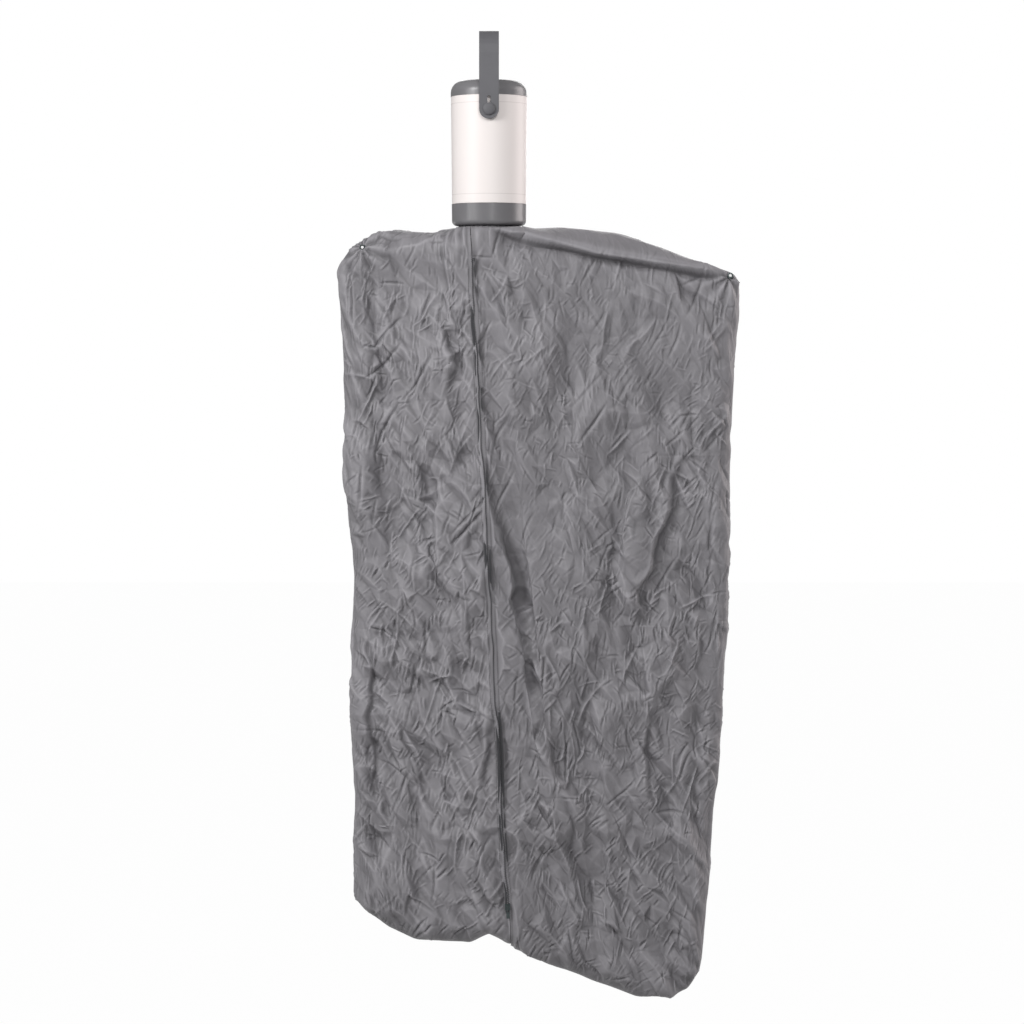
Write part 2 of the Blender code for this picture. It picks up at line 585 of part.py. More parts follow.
def make_air_duct(parts, cutters, look):
    """Thin liner between the fan and the outlet, standing on the bottom cap."""
    top = SHELL_TOP_Z - SPIGOT_LENGTH - SEAT_GAP
    foot = SHELL_FOOT_Z + SPIGOT_LENGTH + SEAT_GAP
    outline = ring_outline(DUCT_RADIUS, DUCT_RADIUS - DUCT_WALL, top, foot)
    duct = turned("air_duct", outline, parts, look["tan"])
    inlet_z = UNIT_FOOT_Z + INLET_ABOVE_FOOT
    size = (INLET_WIDTH + 2 * SEAT_GAP, UNIT_RADIUS, INLET_HEIGHT + 2 * SEAT_GAP)
    window = box("duct_inlet_cutter", size, (0, UNIT_RADIUS, inlet_z), cutters)
    return smooth(cut_shapes(duct, [window]))


def make_control_board(parts, cutters, look):
    foot = BOARD_TOP_Z - BOARD_THICKNESS
    board = turned("control_board", ring_outline(BOARD_RADIUS, BOARD_BORE, BOARD_TOP_Z, foot), parts,
                   look["board"], MEDIUM_STEPS)
    tongue_end = SWITCH_SIDE / 2 + BOARD_THICKNESS
    length = BOARD_BORE + BOARD_THICKNESS + tongue_end
    size = (SWITCH_SIDE + 2 * BOARD_THICKNESS, length, BOARD_THICKNESS)
    centre = (0, tongue_end - length / 2, BOARD_TOP_Z - BOARD_THICKNESS / 2)
    return join_shapes(board, [box("board_tongue", size, centre, cutters)])


def make_switch(parts, cutters, look):
    size = (SWITCH_SIDE, SWITCH_SIDE, SWITCH_BODY_HEIGHT)
    height = SWITCH_HEIGHT - SEAT_GAP
    foot = BOARD_TOP_Z + SEAT_GAP
    body = box("button_switch", size, (0, 0, foot + SWITCH_BODY_HEIGHT / 2), parts, look["dark"])
    key = cylinder("switch_key", SWITCH_KEY_RADIUS, height, (0, 0, foot + height / 2), (0, 0, 1), cutters)
    return join_shapes(body, [key])


def make_fan_frame(parts, cutters, look):
    """Guide ring of the fan, with struts and a cup that carry the motor."""
    outer = DUCT_RADIUS - DUCT_WALL - SEAT_GAP
    frame = turned("fan_frame", ring_outline(outer, outer - FAN_RING_WALL, FAN_TOP_Z, FAN_FOOT_Z), parts,
                   look["dark"])
    cup = MOTOR_RADIUS + SEAT_GAP
    reach = outer - FAN_RING_WALL / 2
    cup_foot = FAN_TOP_Z - 2 * FAN_STRUT_HEIGHT
    cup_outline = [(cup + FAN_RING_WALL, FAN_TOP_Z), (cup + FAN_RING_WALL, cup_foot), (cup, cup_foot)]
    cup_outline += [(cup, FAN_TOP_Z - FAN_STRUT_HEIGHT), (0.0, FAN_TOP_Z - FAN_STRUT_HEIGHT)]
    cup_outline += [(0.0, FAN_TOP_Z)]
    pieces = [turned("motor_cup", cup_outline, cutters, None, MEDIUM_STEPS)]
    for index in range(FAN_STRUTS):
        turn = Matrix.Rotation(2 * math.pi * (index + 0.5) / FAN_STRUTS, 4, "Z")
        length = reach - cup
        centre = turn @ Vector((cup + SEAT_GAP + length / 2, 0, FAN_TOP_Z - FAN_STRUT_HEIGHT / 2))
        size = (length, FAN_STRUT_WIDTH, FAN_STRUT_HEIGHT)
        pieces.append(box("fan_strut", size, centre, cutters, turn=turn))
    return smooth(join_shapes(frame, pieces))


def make_motor(parts, cutters, look):
    top = FAN_TOP_Z - FAN_STRUT_HEIGHT - SEAT_GAP
    bore = SHAFT_RADIUS + SHAFT_CLEARANCE
    edge = MOTOR_RADIUS - MOTOR_CHAMFER
    outline = [(bore, top), (edge, top), (MOTOR_RADIUS, top - MOTOR_CHAMFER)]
    outline += [(MOTOR_RADIUS, MOTOR_FOOT_Z + MOTOR_CHAMFER), (edge, MOTOR_FOOT_Z), (bore, MOTOR_FOOT_Z)]
    return smooth(turned("fan_motor", outline, parts, look["steel"], MEDIUM_STEPS))


def blade(index, cutters, tip):
    """One twisted blade: steep at the hub, flatter and wider towards the tip."""
    shape = bmesh.new()
    root = ROTOR_HUB_RADIUS - ROTOR_WALL / 2
    rows = []
    for station in range(BLADE_STATIONS + 1):
        share = station / BLADE_STATIONS
        radius = root + (tip - root) * share
        pitch = math.radians(BLADE_ROOT_PITCH_DEG + (BLADE_TIP_PITCH_DEG - BLADE_ROOT_PITCH_DEG) * share)
        chord = BLADE_ROOT_CHORD + (BLADE_TIP_CHORD - BLADE_ROOT_CHORD) * math.sin(share * math.pi / 2)
        lead = math.radians(BLADE_SWEEP_DEG) * share
        row = []
        for along in BLADE_POINTS:
            camber = BLADE_THICKNESS * (1 - 4 * along * along)
            sweep = along * chord * math.cos(pitch) / radius + lead
            height = along * chord * math.sin(pitch) + camber
            row.append(shape.verts.new((radius * math.cos(sweep), radius * math.sin(sweep), height)))
        rows.append(row)
    for row, following in zip(rows, rows[1:]):
        for place in range(len(BLADE_POINTS) - 1):
            shape.faces.new((row[place], row[place + 1], following[place + 1], following[place]))
    item = finish_bmesh(shape, "fan_blade", cutters)
    thick = item.modifiers.new("thickness", "SOLIDIFY")
    thick.thickness = BLADE_THICKNESS
    thick.offset = 0.0
    apply_modifiers(item)
    turn = Matrix.Rotation(2 * math.pi * index / BLADE_COUNT, 4, "Z")
    item.data.transform(Matrix.Translation((0, 0, ROTOR_TOP_Z - ROTOR_HUB_HEIGHT / 2)) @ turn)
    return item


def make_rotor(parts, cutters, look):
    foot = ROTOR_TOP_Z - ROTOR_HUB_HEIGHT
    shaft_top = MOTOR_FOOT_Z + SHAFT_IN_MOTOR
    edge = ROTOR_HUB_RADIUS - ROTOR_WALL
    outline = [(0.0, shaft_top), (SHAFT_RADIUS, shaft_top), (SHAFT_RADIUS, ROTOR_TOP_Z)]
    outline += [(ROTOR_HUB_RADIUS, ROTOR_TOP_Z), (ROTOR_HUB_RADIUS, foot + ROTOR_WALL), (edge, foot)]
    outline += [(0.0, foot)]
    rotor = turned("fan_rotor", outline, parts, look["dark"], MEDIUM_STEPS)
    tip = DUCT_RADIUS - DUCT_WALL - SEAT_GAP - FAN_RING_WALL - ROTOR_TIP_CLEARANCE
    return smooth(join_shapes(rotor, [blade(index, cutters, tip) for index in range(BLADE_COUNT)]))


def make_heater(parts, cutters, look):
    """A carrier ring with a square window, and the finned element that sits in it."""
    outer = DUCT_RADIUS - DUCT_WALL - SEAT_GAP
    centre_z = HEATER_TOP_Z - HEATER_HEIGHT / 2
    ring = cylinder("heater_ring", outer, HEATER_RING_THICKNESS, (0, 0, centre_z), (0, 0, 1), parts,
                    look["tan"], ROUND_STEPS)
    window = (HEATER_WIDTH + 2 * SEAT_GAP, HEATER_DEPTH + 2 * SEAT_GAP, HEATER_HEIGHT)
    boolean(ring, box("heater_window", window, (0, 0, centre_z), cutters), "DIFFERENCE")
    size = (HEATER_WIDTH, HEATER_BAR_THICKNESS, HEATER_HEIGHT)
    side = (HEATER_DEPTH - HEATER_BAR_THICKNESS) / 2
    element = box("heater_element", size, (0, side, centre_z), parts, look["heater"])
    pieces = [box("heater_bar", size, (0, y, centre_z), cutters) for y in (-side, 0)]
    pitch = (HEATER_WIDTH - HEATER_FIN_THICKNESS) / (HEATER_FIN_COUNT - 1)
    for index in range(HEATER_FIN_COUNT):
        x = -(HEATER_WIDTH - HEATER_FIN_THICKNESS) / 2 + pitch * index
        fin = (HEATER_FIN_THICKNESS, HEATER_DEPTH - HEATER_BAR_THICKNESS, HEATER_HEIGHT - 2 * SEAM_STEP)
        pieces.append(box("heater_fin", fin, (x, 0, centre_z), cutters))
    return ring, join_shapes(element, pieces)


def make_grille(parts, cutters, look):
    """Outlet guard: thin rings on spokes, resting on the lip of the bottom cap."""
    top = UNIT_FOOT_Z + CAP_WALL + SEAT_GAP + GRILLE_THICKNESS
    foot = top - GRILLE_THICKNESS
    outer = DUCT_RADIUS - DUCT_WALL - SEAT_GAP
    grille = turned("outlet_grille", ring_outline(outer, HUB_BORE, top, foot), parts, look["dark"])
    pitch = HUB_BORE / (GRILLE_RINGS + 0.5)
    pieces = []
    for index in range(GRILLE_RINGS):
        radius = pitch * (index + 1)
        outline = ring_outline(radius + GRILLE_BAR / 2, radius - GRILLE_BAR / 2, top, foot)
        pieces.append(turned("grille_ring", outline, cutters, None, SMALL_STEPS))
    for index in range(GRILLE_SPOKES):
        turn = Matrix.Rotation(2 * math.pi * index / GRILLE_SPOKES, 4, "Z")
        length = HUB_BORE + GRILLE_BAR - pitch
        centre = turn @ Vector((pitch + length / 2, 0, (top + foot) / 2))
        size = (length, GRILLE_BAR, GRILLE_THICKNESS)
        pieces.append(box("grille_spoke", size, centre, cutters, turn=turn))
    return smooth(join_shapes(grille, pieces))


def make_power_inlet(parts, cutters, look):
    """Two-pin socket in the back, flush with the shell."""
    z = UNIT_FOOT_Z + INLET_ABOVE_FOOT
    face = slope_radius(z) - SEAM_STEP
    size = (INLET_WIDTH, INLET_DEPTH, INLET_HEIGHT)
    body = box("power_inlet", size, (0, face - INLET_DEPTH / 2, z), parts, look["dark"])
    recess = (INLET_WIDTH - 2 * INLET_WALL, INLET_DEPTH, INLET_HEIGHT - 2 * INLET_WALL)
    boolean(body, box("inlet_recess", recess, (0, face - INLET_WALL, z), cutters), "DIFFERENCE")
    pins = []
    for side in (-1, 1):
        length = INLET_DEPTH - INLET_WALL
        centre = (side * INLET_PIN_PITCH / 2, face - INLET_DEPTH + INLET_WALL / 2 + length / 2, z)
        pin = cylinder("inlet_pin", INLET_PIN_RADIUS, length, centre, (0, 1, 0), cutters, steps=TINY_STEPS)
        pins.append(pin)
    return join_shapes(body, pins)


def make_hub(parts, cutters, look):
    """Ring under the bottom cap, with two pairs of ears for the arms."""
    top = UNIT_FOOT_Z - SEAT_GAP
    foot = top - HUB_HEIGHT
    hub = turned("arm_hub", ring_outline(HUB_RADIUS, HUB_BORE, top, foot), parts, look["dark"])
    pieces = []
    for side in (-1, 1):
        for front in (-1, 1):
            inner = HUB_BORE + ARM_WALL
            outer = ARM_PIVOT_REACH + EAR_PAST_PIN
            y = front * (ARM_WIDTH / 2 + RUNNING_GAP + EAR_THICKNESS / 2)
            size = (outer - inner, EAR_THICKNESS, EAR_HEIGHT)
            z = ARM_PIVOT_Z + EAR_ABOVE_PIN
            pieces.append(box("hub_ear", size, (side * (inner + outer) / 2, y, z), cutters))
    join_shapes(hub, pieces)
    hole = ARM_PIN_RADIUS + SEAT_GAP
    for side in (-1, 1):
        centre = (side * ARM_PIVOT_REACH, 0, ARM_PIVOT_Z)
        boolean(hub, cylinder("ear_hole", hole, 2 * HUB_RADIUS, centre, (0, 1, 0), cutters), "DIFFERENCE")
    hole = HUB_SCREW_RADIUS + SEAT_GAP
    for centre in hub_screw_places(top):
        drill = cylinder("screw_hole", hole, 3 * HUB_HEIGHT, centre, (0, 0, 1), cutters, steps=TINY_STEPS)
        boolean(hub, drill, "DIFFERENCE")
    return smooth(hub)


def hub_screw_places(height):
    radius = (HUB_RADIUS + HUB_BORE) / 2
    places = []
    for index in range(HUB_SCREWS):
        angle = 2 * math.pi * (index + 0.5) / HUB_SCREWS
        places.append((radius * math.cos(angle), radius * math.sin(angle), height))
    return places


def make_hub_screws(parts, cutters, look):
    """Screws up through the hub; each head bears on the hub's foot."""
    foot = UNIT_FOOT_Z - SEAT_GAP - HUB_HEIGHT
    head_foot = foot - SEAT_GAP - HUB_SCREW_RADIUS
    for index, (x, y, top) in enumerate(hub_screw_places(UNIT_FOOT_Z - 2 * SEAT_GAP)):
        outline = [(0.0, top), (HUB_SCREW_RADIUS, top), (HUB_SCREW_RADIUS, foot - SEAT_GAP)]
        outline += [(HUB_SCREW_HEAD_RADIUS, foot - SEAT_GAP)]
        outline += [(HUB_SCREW_HEAD_RADIUS, head_foot + SEAM_STEP)]
        outline += [(HUB_SCREW_HEAD_RADIUS - SEAM_STEP, head_foot), (0.0, head_foot)]
        screw = turned("hub_screw_" + str(index + 1), outline, parts, look["steel"], TINY_STEPS)
        screw.data.transform(Matrix.Translation((x, y, 0)))
        smooth(screw)


def tube(name, width, height, length, wall, group, cutters, material):
    """A square tube along +X from its start, open at its far end and closed at its heel."""
    item = box(name, (length, width, height), (length / 2, 0, 0), group, material)
    if wall:
        bore = (length, width - 2 * wall, height - 2 * wall)
        boolean(item, box("bore_cutter", bore, (length / 2 + 3 * wall, 0, 0), cutters), "DIFFERENCE")
    return item


def arm_matrix(side, slope_deg, start):
    """Turns a stage that lies along +X into the arm's line, at a distance from its pivot."""
    flip = Matrix.Rotation(math.pi, 4, "Z") if side < 0 else Matrix.Identity(4)
    slope = Matrix.Rotation(math.radians(slope_deg), 4, "Y")
    place = Matrix.Translation((side * ARM_PIVOT_REACH, 0, ARM_PIVOT_Z))
    return place @ flip @ slope @ Matrix.Translation((start, 0, 0))


def stud_place(side):
    """The studs sit in the bag's shoulders, a little in from its edge and under its shoulder line."""
    x = EYELET_REACH_RIGHT if side > 0 else -EYELET_REACH_LEFT
    below = EYELET_BELOW_SHOULDER_RIGHT if side > 0 else EYELET_BELOW_SHOULDER_LEFT
    return Vector((x, 0, shoulder_z(x) - below))


def arm_reach(side):
    """Distance from an arm's pivot to the stud that its tip holds."""
    place = stud_place(side)
    return math.hypot(abs(place.x) - ARM_PIVOT_REACH, ARM_PIVOT_Z - place.z)


def arm_slope_deg(side):
    place = stud_place(side)
    return math.degrees(math.atan2(ARM_PIVOT_Z - place.z, abs(place.x) - ARM_PIVOT_REACH))


def stage_length(side, drawn_out):
    """Length of the sleeve: the arm is pushed in, or drawn out until its stages overlap a little."""
    if not drawn_out:
        return arm_reach(side) - ARM_NOSE
    return (arm_reach(side) - ARM_NOSE + 2 * (MIDDLE_STAGE_START + STAGE_OVERLAP)) / 3


def make_arm(side, label, drawn_out, parts, cutters, look):
    """Three stages that slide in each other; the last ends in an open hook under the stud."""
    slope_deg = arm_slope_deg(side)
    length = stage_length(side, drawn_out)
    sleeve = tube("arm_sleeve_" + label, ARM_WIDTH, ARM_HEIGHT, length + ARM_HEEL, ARM_WALL, parts,
                  cutters, look["dark"])
    sleeve.data.transform(Matrix.Translation((-ARM_HEEL, 0, 0)))
    hole = ARM_PIN_RADIUS + SEAT_GAP
    boolean(sleeve, cylinder("pin_hole", hole, 2 * ARM_WIDTH, (0, 0, 0), (0, 1, 0), cutters), "DIFFERENCE")
    step = 2 * (ARM_WALL + STAGE_GAP)
    middle_length = length - MIDDLE_STAGE_START
    middle = tube("arm_middle_" + label, ARM_WIDTH - step, ARM_HEIGHT - step, middle_length, ARM_WALL,
                  parts, cutters, look["steel"])
    hook_start = arm_reach(side) - STUD_RADIUS - SEAT_GAP - TIP_WALL
    rod_length = middle_length + ROD_EXTRA
    middle_out = middle_length - STAGE_OVERLAP if drawn_out else 0.0
    rod = tube("arm_tip_" + label, ARM_WIDTH - 2 * step, ARM_HEIGHT - 2 * step, rod_length, 0.0, parts,
               cutters, look["steel"])
    rod_from = hook_start + CUT_OVERRUN - rod_length
    rod.data.transform(arm_matrix(side, slope_deg, rod_from))
    hook_foot = STUD_RADIUS + SEAT_GAP + TIP_DEPTH
    hook_length = TIP_WALL + 2 * STUD_RADIUS + TIP_NOSE
    height = hook_foot + TIP_RISE
    block = (hook_length, TIP_WIDTH, height)
    hook = box("hook_block", block, (hook_length / 2, 0, TIP_RISE - height / 2), cutters)
    room = (hook_length, 2 * TIP_WIDTH, height)
    floor = height / 2 - STUD_RADIUS - SEAT_GAP
    notch = box("hook_notch", room, (TIP_WALL + hook_length / 2, 0, floor), cutters)
    boolean(hook, notch, "DIFFERENCE")
    hook.data.transform(arm_matrix(side, slope_deg, hook_start))
    join_shapes(rod, [hook])
    middle.data.transform(arm_matrix(side, slope_deg, MIDDLE_STAGE_START + middle_out))
    sleeve.data.transform(arm_matrix(side, slope_deg, 0.0))
    pin = cylinder("arm_pin_" + label, ARM_PIN_RADIUS, ARM_WIDTH + 2 * EAR_THICKNESS + 2 * RUNNING_GAP,
                   (side * ARM_PIVOT_REACH, 0, ARM_PIVOT_Z), (0, 1, 0), parts, look["steel"])
    return sleeve, middle, rod, pin


def read_share(table, place):
    """Straight-line reading of a table of shares, held at its ends."""
    if place <= table[0][0]:
        return table[0][1]
    for (start, low), (end, high) in zip(table, table[1:]):
        if place <= end:
            return low + (high - low) * (place - start) / (end - start)
    return table[-1][1]


def zip_x(z):
    """The zip hangs in one straight, slightly leaning line."""
    top = NECK_Z - ZIP_BELOW_NECK
    share = (top - z) / ZIP_DROP
    return ZIP_TOP_OFFSET + (ZIP_FOOT_OFFSET - ZIP_TOP_OFFSET) * share


def edge_x(side, z):
    table, reach = (RIGHT_EDGE_SHARES, BAG_REACH_RIGHT) if side > 0 else (LEFT_EDGE_SHARES, BAG_REACH_LEFT)
    return side * reach * read_share(table, (NECK_Z - z) / BAG_DROP)


def shoulder_z(x):
    table, reach = (LEFT_SHOULDER_SHARES, BAG_REACH_LEFT)
    if x > 0:
        table, reach = (RIGHT_SHOULDER_SHARES, BAG_REACH_RIGHT)
    return NECK_Z - BAG_DROP * read_share(table, abs(x) / reach)


def hem_z(x):
    table, reach = (RIGHT_HEM_SHARES, BAG_REACH_RIGHT) if x > 0 else (LEFT_HEM_SHARES, BAG_REACH_LEFT)
    return NECK_Z - BAG_DROP * (1.0 - read_share(table, abs(x) / reach))


def round_up(distance, radius):
    """Quarter-ellipse rise from 0 at an edge to 1 at a distance of one radius."""
    share = min(max(distance / radius, 0.0), 1.0)
    return math.sqrt(1.0 - (1.0 - share) ** 2)


def neck_radius():
    return NECK_RADIUS + CLOTH_THICKNESS / 2


def fold_height(folds, share, z):
    """Sum of the main folds at a place: each is a ridge beside a groove that fades at its ends."""
    down = (NECK_Z - z) / BAG_DROP
    total = 0.0
    for place, top, foot, lean, width, depth in folds:
        along = (down - top) / (foot - top)
        if 0.0 < along < 1.0:
            offset = (share - place - lean * (along - 0.5)) / width
            total += depth * 2.0 * offset * math.exp(-offset * offset) * math.sin(math.pi * along)
    return FOLD_DEPTH * total


def relief_height(table, x, z):
    """Reading of the table of facets: each cell of it is two flat triangles."""
    across = (x + BAG_REACH_LEFT) / (BAG_REACH_LEFT + BAG_REACH_RIGHT) * (len(table[0]) - 1)
    down = (NECK_Z - z) / BAG_DROP * (len(table) - 1)
    column = min(max(int(across), 0), len(table[0]) - 2)
    row = min(max(int(down), 0), len(table) - 2)
    s = across - column
    t = down - row
    above, under = table[row], table[row + 1]
    if s + t < 1:
        share = above[column] * (1 - s - t) + above[column + 1] * s + under[column] * t
    else:
        share = under[column + 1] * (s + t - 1) + under[column] * (1 - s) + above[column + 1] * (1 - t)
    return RELIEF_DEPTH * share


def roof_step(x, z):
    """The roof cloth ends in a soft lip on the right, and the front hangs back under it."""
    below = NECK_Z - BAG_DROP * read_share(ROOF_LINE_SHARES, x / BAG_REACH_RIGHT) - z
    start = min(max(x / ROOF_FADE, 0.0), 1.0)
    end = min(max((EYELET_REACH_RIGHT - x) / ROOF_FADE, 0.0), 1.0)
    if below > 0:
        return -start * end * ROOF_TUCK * math.exp(-below / ROOF_TUCK_DROP)
    return start * end * ROOF_LIP * math.exp(-(below / ROOF_LIP_RISE) ** 2)


def cloth_half_depth(x, z, form):
    """Distance of the cloth from the bag's middle plane, at a place in the front view."""
    folds, relief, is_front = form
    side = 1 if x >= zip_x(z) else -1
    edge = edge_x(side, z)
    share = min(abs(x - zip_x(z)) / abs(edge - zip_x(z)), 1.0)
    full = BAG_SIDE_HALF_DEPTH + (BAG_HALF_DEPTH - BAG_SIDE_HALF_DEPTH) * (1.0 - share) ** DEPTH_POWER
    edge_rise = round_up(abs(edge - x), BAG_SIDE_ROUND)
    hem_rise = round_up(z - hem_z(x), BAG_FOOT_ROUND)
    top_rise = round_up(shoulder_z(x) - z, BAG_TOP_ROUND)
    calm = min(1.0, share / FOLD_START_SHARE) * edge_rise * hem_rise * top_rise
    full += (fold_height(folds, share, z) + relief_height(relief, x, z)) * calm * full / BAG_HALF_DEPTH
    if is_front:
        full += roof_step(x, z)
    full *= edge_rise * hem_rise
    neck = math.sqrt(max(neck_radius() ** 2 - x * x, 0.0))
    return max(neck + (full - neck) * top_rise, SEAM_HALF_GAP)


def column_shares(side):
    """Columns from the zip out to the edge: round the neck, across the panel, round the side."""
    start = zip_x(NECK_Z)
    places = []
    first = math.asin(side * start / neck_radius())
    pieces = math.ceil((math.pi / 2 - first) / math.radians(NECK_STEP_DEG))
    for index in range(1, pieces + 1):
        angle = first + (math.pi / 2 - first) * index / pieces
        places.append(side * neck_radius() * math.sin(angle))
    reach = BAG_REACH_RIGHT if side > 0 else BAG_REACH_LEFT
    last = side * (reach - BAG_SIDE_ROUND)
    count = RIGHT_COLUMNS if side > 0 else LEFT_COLUMNS
    neck_end = places[-1]
    for index in range(1, count + 1):
        places.append(neck_end + (last - neck_end) * index / count)
    return [(x - start) / (last - start) for x in places]


def panel_rows():
    """Rows as a kind and a share: round under the shoulder, down the panel, round over the hem."""
    rows = [("top", index / ROUND_PIECES) for index in range(ROUND_PIECES + 1)]
    rows += [("zip", 0.0)]
    rows += [("middle", (index + 1) / (BAG_ROWS + 1)) for index in range(BAG_ROWS)]
    rows += [("hem", 1.0 - index / ROUND_PIECES) for index in range(ROUND_PIECES + 1)]
    return rows


def row_z(row, x_top, x_foot):
    kind, share = row
    top = shoulder_z(x_top)
    foot = hem_z(x_foot)
    upper = top - BAG_TOP_ROUND
    lower = foot + BAG_FOOT_ROUND
    if kind == "top":
        return top - BAG_TOP_ROUND * (1.0 - math.cos(share * math.pi / 2))
    if kind == "hem":
        return foot + BAG_FOOT_ROUND * (1.0 - math.cos(share * math.pi / 2))
    if kind == "zip":
        return upper - (ZIP_BELOW_NECK - BAG_TOP_ROUND) / 2
    upper -= ZIP_BELOW_NECK - BAG_TOP_ROUND
    return upper + (lower - upper) * share


def slit_half_width(row):
    """The two front panels meet above the zip and make room for its chain below."""
    return SEAM_HALF_GAP if row[0] == "top" else ZIP_WIDTH / 2 + ZIP_GAP


def half_rows(side, form, slit):
    """Grid of points of one half panel, each row from the zip to the edge."""
    shares = [0.0] + column_shares(side)
    turns = [index / ROUND_PIECES for index in range(1, ROUND_PIECES + 1)]
    grid = []
    for row in panel_rows():
        line = []
        start_top = zip_x(NECK_Z)
        reach = side * (BAG_REACH_RIGHT if side > 0 else BAG_REACH_LEFT)
        last_top = reach - side * BAG_SIDE_ROUND
        places = [("across", share) for share in shares] + [("round", turn) for turn in turns]
        for kind, share in places:
            if kind == "across":
                x_top = start_top + (last_top - start_top) * share
            else:
                x_top = reach - side * BAG_SIDE_ROUND * (1.0 - math.sin(share * math.pi / 2))
            z = row_z(row, x_top, x_top)
            for _ in range(EDGE_PASSES):
                edge = edge_x(side, z)
                last = edge - side * BAG_SIDE_ROUND
                if kind == "across":
                    x = zip_x(z) + (last - zip_x(z)) * share
                else:
                    x = edge - side * BAG_SIDE_ROUND * (1.0 - math.sin(share * math.pi / 2))
                z = row_z(row, x_top, x)
            if share == 0.0 and kind == "across" and slit:
                x += side * slit_half_width(row)
            if row == ("top", 0.0):
                x = x_top
            depth = cloth_half_depth(x, z, form)
            line.append((x, -depth if form[2] else depth, z))
        grid.append(line)
    return grid


def cloth_panel(name, grid, parts, look):
    shape = bmesh.new()
    rows = [[shape.verts.new(point) for point in line] for line in grid]
    for row, following in zip(rows, rows[1:]):
        for index in range(len(row) - 1):
            shape.faces.new((row[index], row[index + 1], following[index + 1], following[index]))
    panel = finish_bmesh(shape, name, parts, look["cloth"])
    thick = panel.modifiers.new("cloth", "SOLIDIFY")
    thick.thickness = CLOTH_THICKNESS
    thick.offset = 0.0
    apply_modifiers(panel)
    return smooth(panel, 60.0)


def make_bag(parts, cutters, look):
    """Front in two panels beside the zip, back in one; each has its hole for a shoulder eyelet."""
    left = cloth_panel("bag_front_left", half_rows(-1, LEFT_FORM, True), parts, look)
    right = cloth_panel("bag_front_right", half_rows(1, RIGHT_FORM, True), parts, look)
    left_back = half_rows(-1, BACK_FORM, False)
    right_back = half_rows(1, BACK_FORM, False)
    whole = [list(reversed(one))[:-1] + other for one, other in zip(left_back, right_back)]
    back = cloth_panel("bag_back", whole, parts, look)
    hole = EYELET_RADIUS + STAGE_GAP
    for side, front in ((-1, left), (1, right)):
        centre = stud_place(side)
        for panel, facing in ((front, -1), (back, 1)):
            middle = centre + Vector((0, facing * BAG_HALF_DEPTH, 0))
            length = 2 * BAG_HALF_DEPTH - CUT_OVERRUN
            cutter = cylinder("eyelet_cutter", hole, length, middle, (0, 1, 0), cutters, steps=TINY_STEPS)
            boolean(panel, cutter, "DIFFERENCE")
    return left, right, back


def make_eyelets(side, label, parts, cutters, look):
    """A ring in the front cloth, one in the back, and the stud that runs through both."""
    centre = stud_place(side)
    form = RIGHT_FORM if side > 0 else LEFT_FORM
    front = cloth_half_depth(centre.x, centre.z, form)
    back = cloth_half_depth(centre.x, centre.z, BACK_FORM)
    for name, y in (("eyelet_front_" + label, -front), ("eyelet_back_" + label, back)):
        outline = ring_outline(EYELET_RADIUS, EYELET_BORE_RADIUS, EYELET_DEPTH / 2, -EYELET_DEPTH / 2)
        ring = turned(name, outline, parts, look["ring"], SMALL_STEPS)
        turn = Matrix.Translation((centre.x, y, centre.z)) @ Matrix.Rotation(math.pi / 2, 4, "X")
        ring.data.transform(turn)
        smooth(ring)
    ends = EYELET_DEPTH / 2 + SEAM_STEP
    length = front + back + 2 * ends
    middle = (centre.x, (back - front) / 2, centre.z)
    stud = cylinder("shoulder_stud_" + label, STUD_RADIUS, length, middle, (0, 1, 0), parts, look["shell"],
                    TINY_STEPS)
    return bevel(stud, STUD_RADIUS / 4)


def make_neck_hem(parts, cutters, look):
    """Round hem of the bag's neck, lying against the hub."""
    centre = (HUB_RADIUS + SEAT_GAP + NECK_HEM_RADIUS, NECK_Z)
    outline = arc(centre, NECK_HEM_RADIUS, 90, -210, 5)
    return smooth(turned("neck_hem", outline, parts, look["cloth"]))


def zip_matrix(z):
    """Frame on the zip at a height: local Z runs up the zip, local Y points to the back."""
    lean = math.atan2(ZIP_FOOT_OFFSET - ZIP_TOP_OFFSET, ZIP_DROP)
    return Matrix.Translation((zip_x(z), -BAG_HALF_DEPTH, z)) @ Matrix.Rotation(-lean, 4, "Y")


def make_zip_chain(parts, cutters, look):
    top = NECK_Z - ZIP_BELOW_NECK
    length = math.hypot(ZIP_DROP, ZIP_FOOT_OFFSET - ZIP_TOP_OFFSET)
    chain = box("zip_chain", (ZIP_WIDTH, ZIP_THICKNESS, length), (0, 0, -length / 2), parts, look["dark"])
    chain.data.transform(zip_matrix(top))
    return chain


def slider_z():
    return NECK_Z - ZIP_BELOW_NECK - ZIP_DROP + SLIDER_LENGTH


def plate_front():
    """Front face of the slider plate, in the zip's own frame."""
    return -ZIP_THICKNESS / 2 - RUNNING_GAP - SLIDER_PLATE


